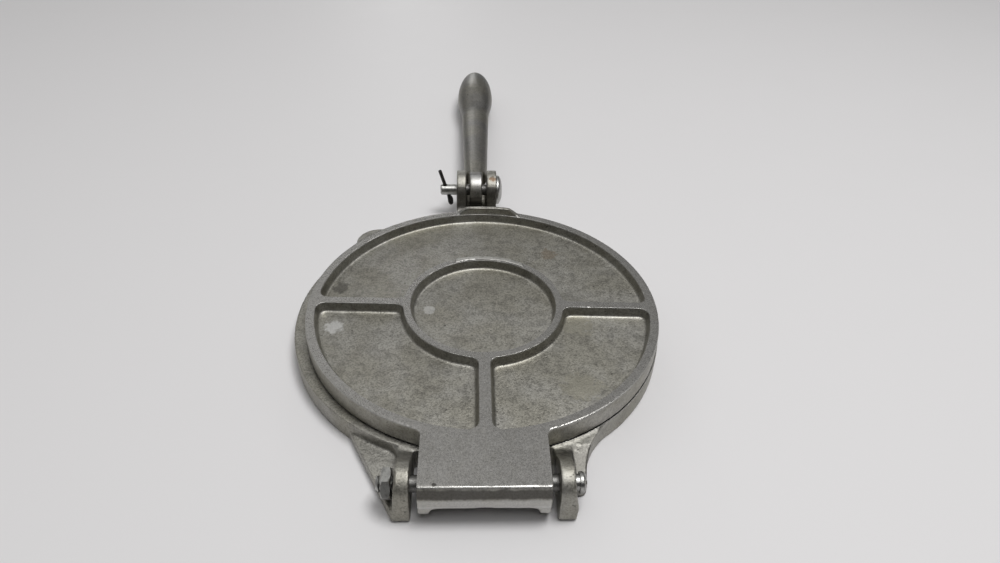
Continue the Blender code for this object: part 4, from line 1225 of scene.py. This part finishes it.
def build_cotter():
    """Half-round wire folded to an eye, its two legs side by side through the pin."""
    split = COTTER_SPLIT / 2
    neck = COTTER_EYE_DROP
    path = [Vector((x, split)) for x in (-COTTER_LEG_LENGTH, 0, neck - COTTER_EYE_RADIUS)]
    middle = (neck + COTTER_EYE_RADIUS, 0)
    path += arc(middle, COTTER_EYE_RADIUS, COTTER_EYE_ANGLE, -COTTER_EYE_ANGLE, 3 * CORNER_STEPS)
    path += [Vector((p.x, -p.y)) for p in path[2::-1]]
    stations = []
    for index, point in enumerate(path):
        along = (path[min(index + 1, len(path) - 1)] - path[max(index - 1, 0)]).normalized()
        stations.append(Matrix((
            (0, -along.y, along.x, point.x),
            (0, along.x, along.y, point.y),
            (1, 0, 0, 0),
            (0, 0, 0, 1),
        )))
    section = arc((0, 0), COTTER_RADIUS - split, 0, 180, 2 * CORNER_STEPS)
    cotter = swept("split_cotter", section, stations)
    return transform(cotter, Matrix.Translation(FORK_MIDDLE) @ cotter_place())


# Operators

# Lamps: name, place, width and power in watts
LAMPS = (
    ("key", (0.36, -0.16, 1.50), 0.60, 13.8),
    ("front", (0.06, -0.80, 1.30), 0.42, 2.0),
    ("rear", (-0.14, 1.25, 0.27), 0.20, 0.7),
)
CAMERA_PLACE = (-0.00383, -0.36265, 0.23580)
CAMERA_PITCH = 37.30
CAMERA_ROLL = 2.08
CAMERA_TURN = -3.0
FOCAL_PIXELS = 720.4
IMAGE_WIDTH = 1000
SENSOR_WIDTH = 36.0
CLIP_START = 0.01
FLOOR_SIZE = 6


def studio_world():
    """A soft room: bright above, mid grey behind the press and dark behind the camera."""
    world = bpy.data.worlds.new("studio_world")
    world.use_nodes = True
    sky = Nodes(world.node_tree, "Generated")
    x, y, z = sky.axes()
    room = y.rise(-0.70, 0.40, 0.05, 0.40) * z.rise(0.36, 0.56, 0.35, 1.15) * z.rise(0.56, 0.74, 1.0, 0.74)
    room = room * x.rise(-0.30, 0.25, 1.45, 0.80)
    high = z.rise(0.86, 1.0, 0.0, 0.50)
    background = world.node_tree.nodes["Background"]
    world.node_tree.links.new((room + high).socket, background.inputs["Strength"])
    background.inputs["Color"].default_value = (1.0, 0.995, 0.985, 1)
    return world


class PRESS_OT_stage(bpy.types.Operator):
    """Add the pale floor, the soft lamps and the camera"""

    bl_idname = "press.stage"
    bl_label = "Studio"

    def execute(self, context):
        deselect()
        bpy.ops.mesh.primitive_plane_add(size=FLOOR_SIZE)
        floor = context.object
        floor.name = "studio_floor"
        finish = Finish("floor_paint", base_color=(*context.scene.press_colours.floor, 1))
        finish.wire("Roughness", 0.55 + finish.noise(FLOOR_SCALE, 3.0) * 0.1)
        floor.data.materials.append(finish.material)
        context.scene.world = studio_world()
        for name, place, width, power in LAMPS:
            deselect()
            bpy.ops.object.light_add(type="AREA", location=place)
            lamp = context.object
            lamp.name = name
            lamp.data.size = width
            lamp.data.energy = power
            lamp.visible_camera = False
            lamp.rotation_euler = Vector(place).to_track_quat("Z", "Y").to_euler()
        deselect()
        bpy.ops.object.camera_add(location=CAMERA_PLACE)
        camera = context.object
        camera.data.sensor_width = SENSOR_WIDTH
        camera.data.lens = FOCAL_PIXELS / IMAGE_WIDTH * SENSOR_WIDTH
        camera.data.clip_start = CLIP_START
        turn = Matrix.Rotation(math.radians(CAMERA_TURN), 3, "Z")
        pitch = Matrix.Rotation(math.radians(90 - CAMERA_PITCH), 3, "X")
        roll = Matrix.Rotation(math.radians(CAMERA_ROLL), 3, "Z")
        camera.rotation_euler = (turn @ pitch @ roll).to_euler()
        context.scene.camera = camera
        context.scene.view_settings.view_transform = "Standard"
        return {"FINISHED"}


class PRESS_OT_base(bpy.types.Operator):
    """Model the lower casting with its hinge ears, webs and fork"""

    bl_idname = "press.base"
    bl_label = "Base casting"

    def execute(self, context):
        plate = context.scene.press_plates
        settings = context.scene.press_casting
        colours = context.scene.press_colours
        body = transform(build_base(plate, settings), Matrix.Translation(PLATE_MIDDLE))
        thin(body, settings.faces)
        heights = [plate.base_thickness]
        material = cast_finish(
            "base_aluminium", colours, colours.cast, BASE_ROUGHNESS,
            heights, BASE_MARKS, BASE_SHADE_BANDS, plate.lid_radius,
        )
        dress(body, "base", "cast_aluminium", material, "base_plate")
        return {"FINISHED"}


class PRESS_OT_lid(bpy.types.Operator):
    """Model the upper casting with its pockets, hinge block and press pad"""

    bl_idname = "press.lid"
    bl_label = "Lid casting"

    def execute(self, context):
        plate = context.scene.press_plates
        settings = context.scene.press_casting
        colours = context.scene.press_colours
        body = transform(build_lid(plate, settings), Matrix.Translation(PLATE_MIDDLE))
        thin(body, settings.faces)
        bottom = plate.base_thickness + BORE_CLEARANCE
        heights = [bottom, bottom + plate.lid_thickness]
        material = cast_finish(
            "lid_aluminium", colours, colours.cast, LID_ROUGHNESS, heights, LID_MARKS, LID_BANDS
        )
        dress(body, "lid", "cast_aluminium", material, "lid_plate")
        return {"FINISHED"}


class PRESS_OT_lever(bpy.types.Operator):
    """Model the lever with its eye, bar and grip"""

    bl_idname = "press.lever"
    bl_label = "Lever casting"

    def execute(self, context):
        settings = context.scene.press_casting
        colours = context.scene.press_colours
        body = build_lever(settings)
        thin(body, settings.faces)
        material = cast_finish(
            "lever_aluminium", colours, colours.handle, LEVER_ROUGHNESS, bands=LEVER_LIGHT_BANDS
        )
        dress(body, "lever", "lever_aluminium", material, "lever")
        return {"FINISHED"}


class PRESS_OT_fasteners(bpy.types.Operator):
    """Model the hinge bolt, its nut and the lever pin"""

    bl_idname = "press.fasteners"
    bl_label = "Bolt, nut and pin"

    def execute(self, context):
        plate = context.scene.press_plates
        colours = context.scene.press_colours
        bolt_steel = steel_finish("bolt_steel", colours, HINGE_PLACE.x, ear_walls(plate)[1], HINGE_HEIGHT)
        pin_steel = steel_finish("pin_steel", colours, FORK_MIDDLE.x, FORK_HALF - FORK_EAR_THICKNESS / 2)
        for piece, material, node in (
            (build_bolt(plate), bolt_steel, "hinge_bolt"),
            (build_nut(plate), bolt_steel, "hinge_nut"),
            (build_pin(), pin_steel, "lever_pin"),
        ):
            dress(fine_edges(piece), "base", "plated_steel", material, node)
        return {"FINISHED"}


class PRESS_OT_cotter(bpy.types.Operator):
    """Model the split cotter in the lever pin"""

    bl_idname = "press.cotter"
    bl_label = "Cotter"

    def execute(self, context):
        material = wire_finish("blackened_wire", context.scene.press_colours)
        dress(fine_edges(build_cotter()), "base", "blackened_wire", material, "cotter_pin")
        return {"FINISHED"}


class PRESS_PT_panel(bpy.types.Panel):
    """Sizes and pieces of the hand press"""

    bl_label = "Hand Press"
    bl_idname = "PRESS_PT_panel"
    bl_space_type = "VIEW_3D"
    bl_region_type = "UI"
    bl_category = "Hand Press"

    def draw(self, context):
        for group in GROUPS:
            sizes = getattr(context.scene, group)
            box = self.layout.box()
            for name in sizes.bl_rna.properties.keys():
                if name not in ("rna_type", "name"):
                    box.prop(sizes, name)
        for operator in OPERATORS:
            self.layout.operator(operator.bl_idname)


GROUPS = {"press_plates": PlateSizes, "press_casting": CastingSettings, "press_colours": FinishSettings}
OPERATORS = (
    PRESS_OT_stage,
    PRESS_OT_base,
    PRESS_OT_lid,
    PRESS_OT_lever,
    PRESS_OT_fasteners,
    PRESS_OT_cotter,
)


def register():
    for cls in (*GROUPS.values(), *OPERATORS, PRESS_PT_panel):
        bpy.utils.register_class(cls)
    for name, cls in GROUPS.items():
        setattr(bpy.types.Scene, name, PointerProperty(type=cls))


def unregister():
    for name in GROUPS:
        delattr(bpy.types.Scene, name)
    for cls in reversed((*GROUPS.values(), *OPERATORS, PRESS_PT_panel)):
        bpy.utils.unregister_class(cls)


def main():
    register()
    bpy.ops.press.stage()
    bpy.ops.press.base()
    bpy.ops.press.lid()
    bpy.ops.press.lever()
    bpy.ops.press.fasteners()
    bpy.ops.press.cotter()


if __name__ == "__main__":
    main()
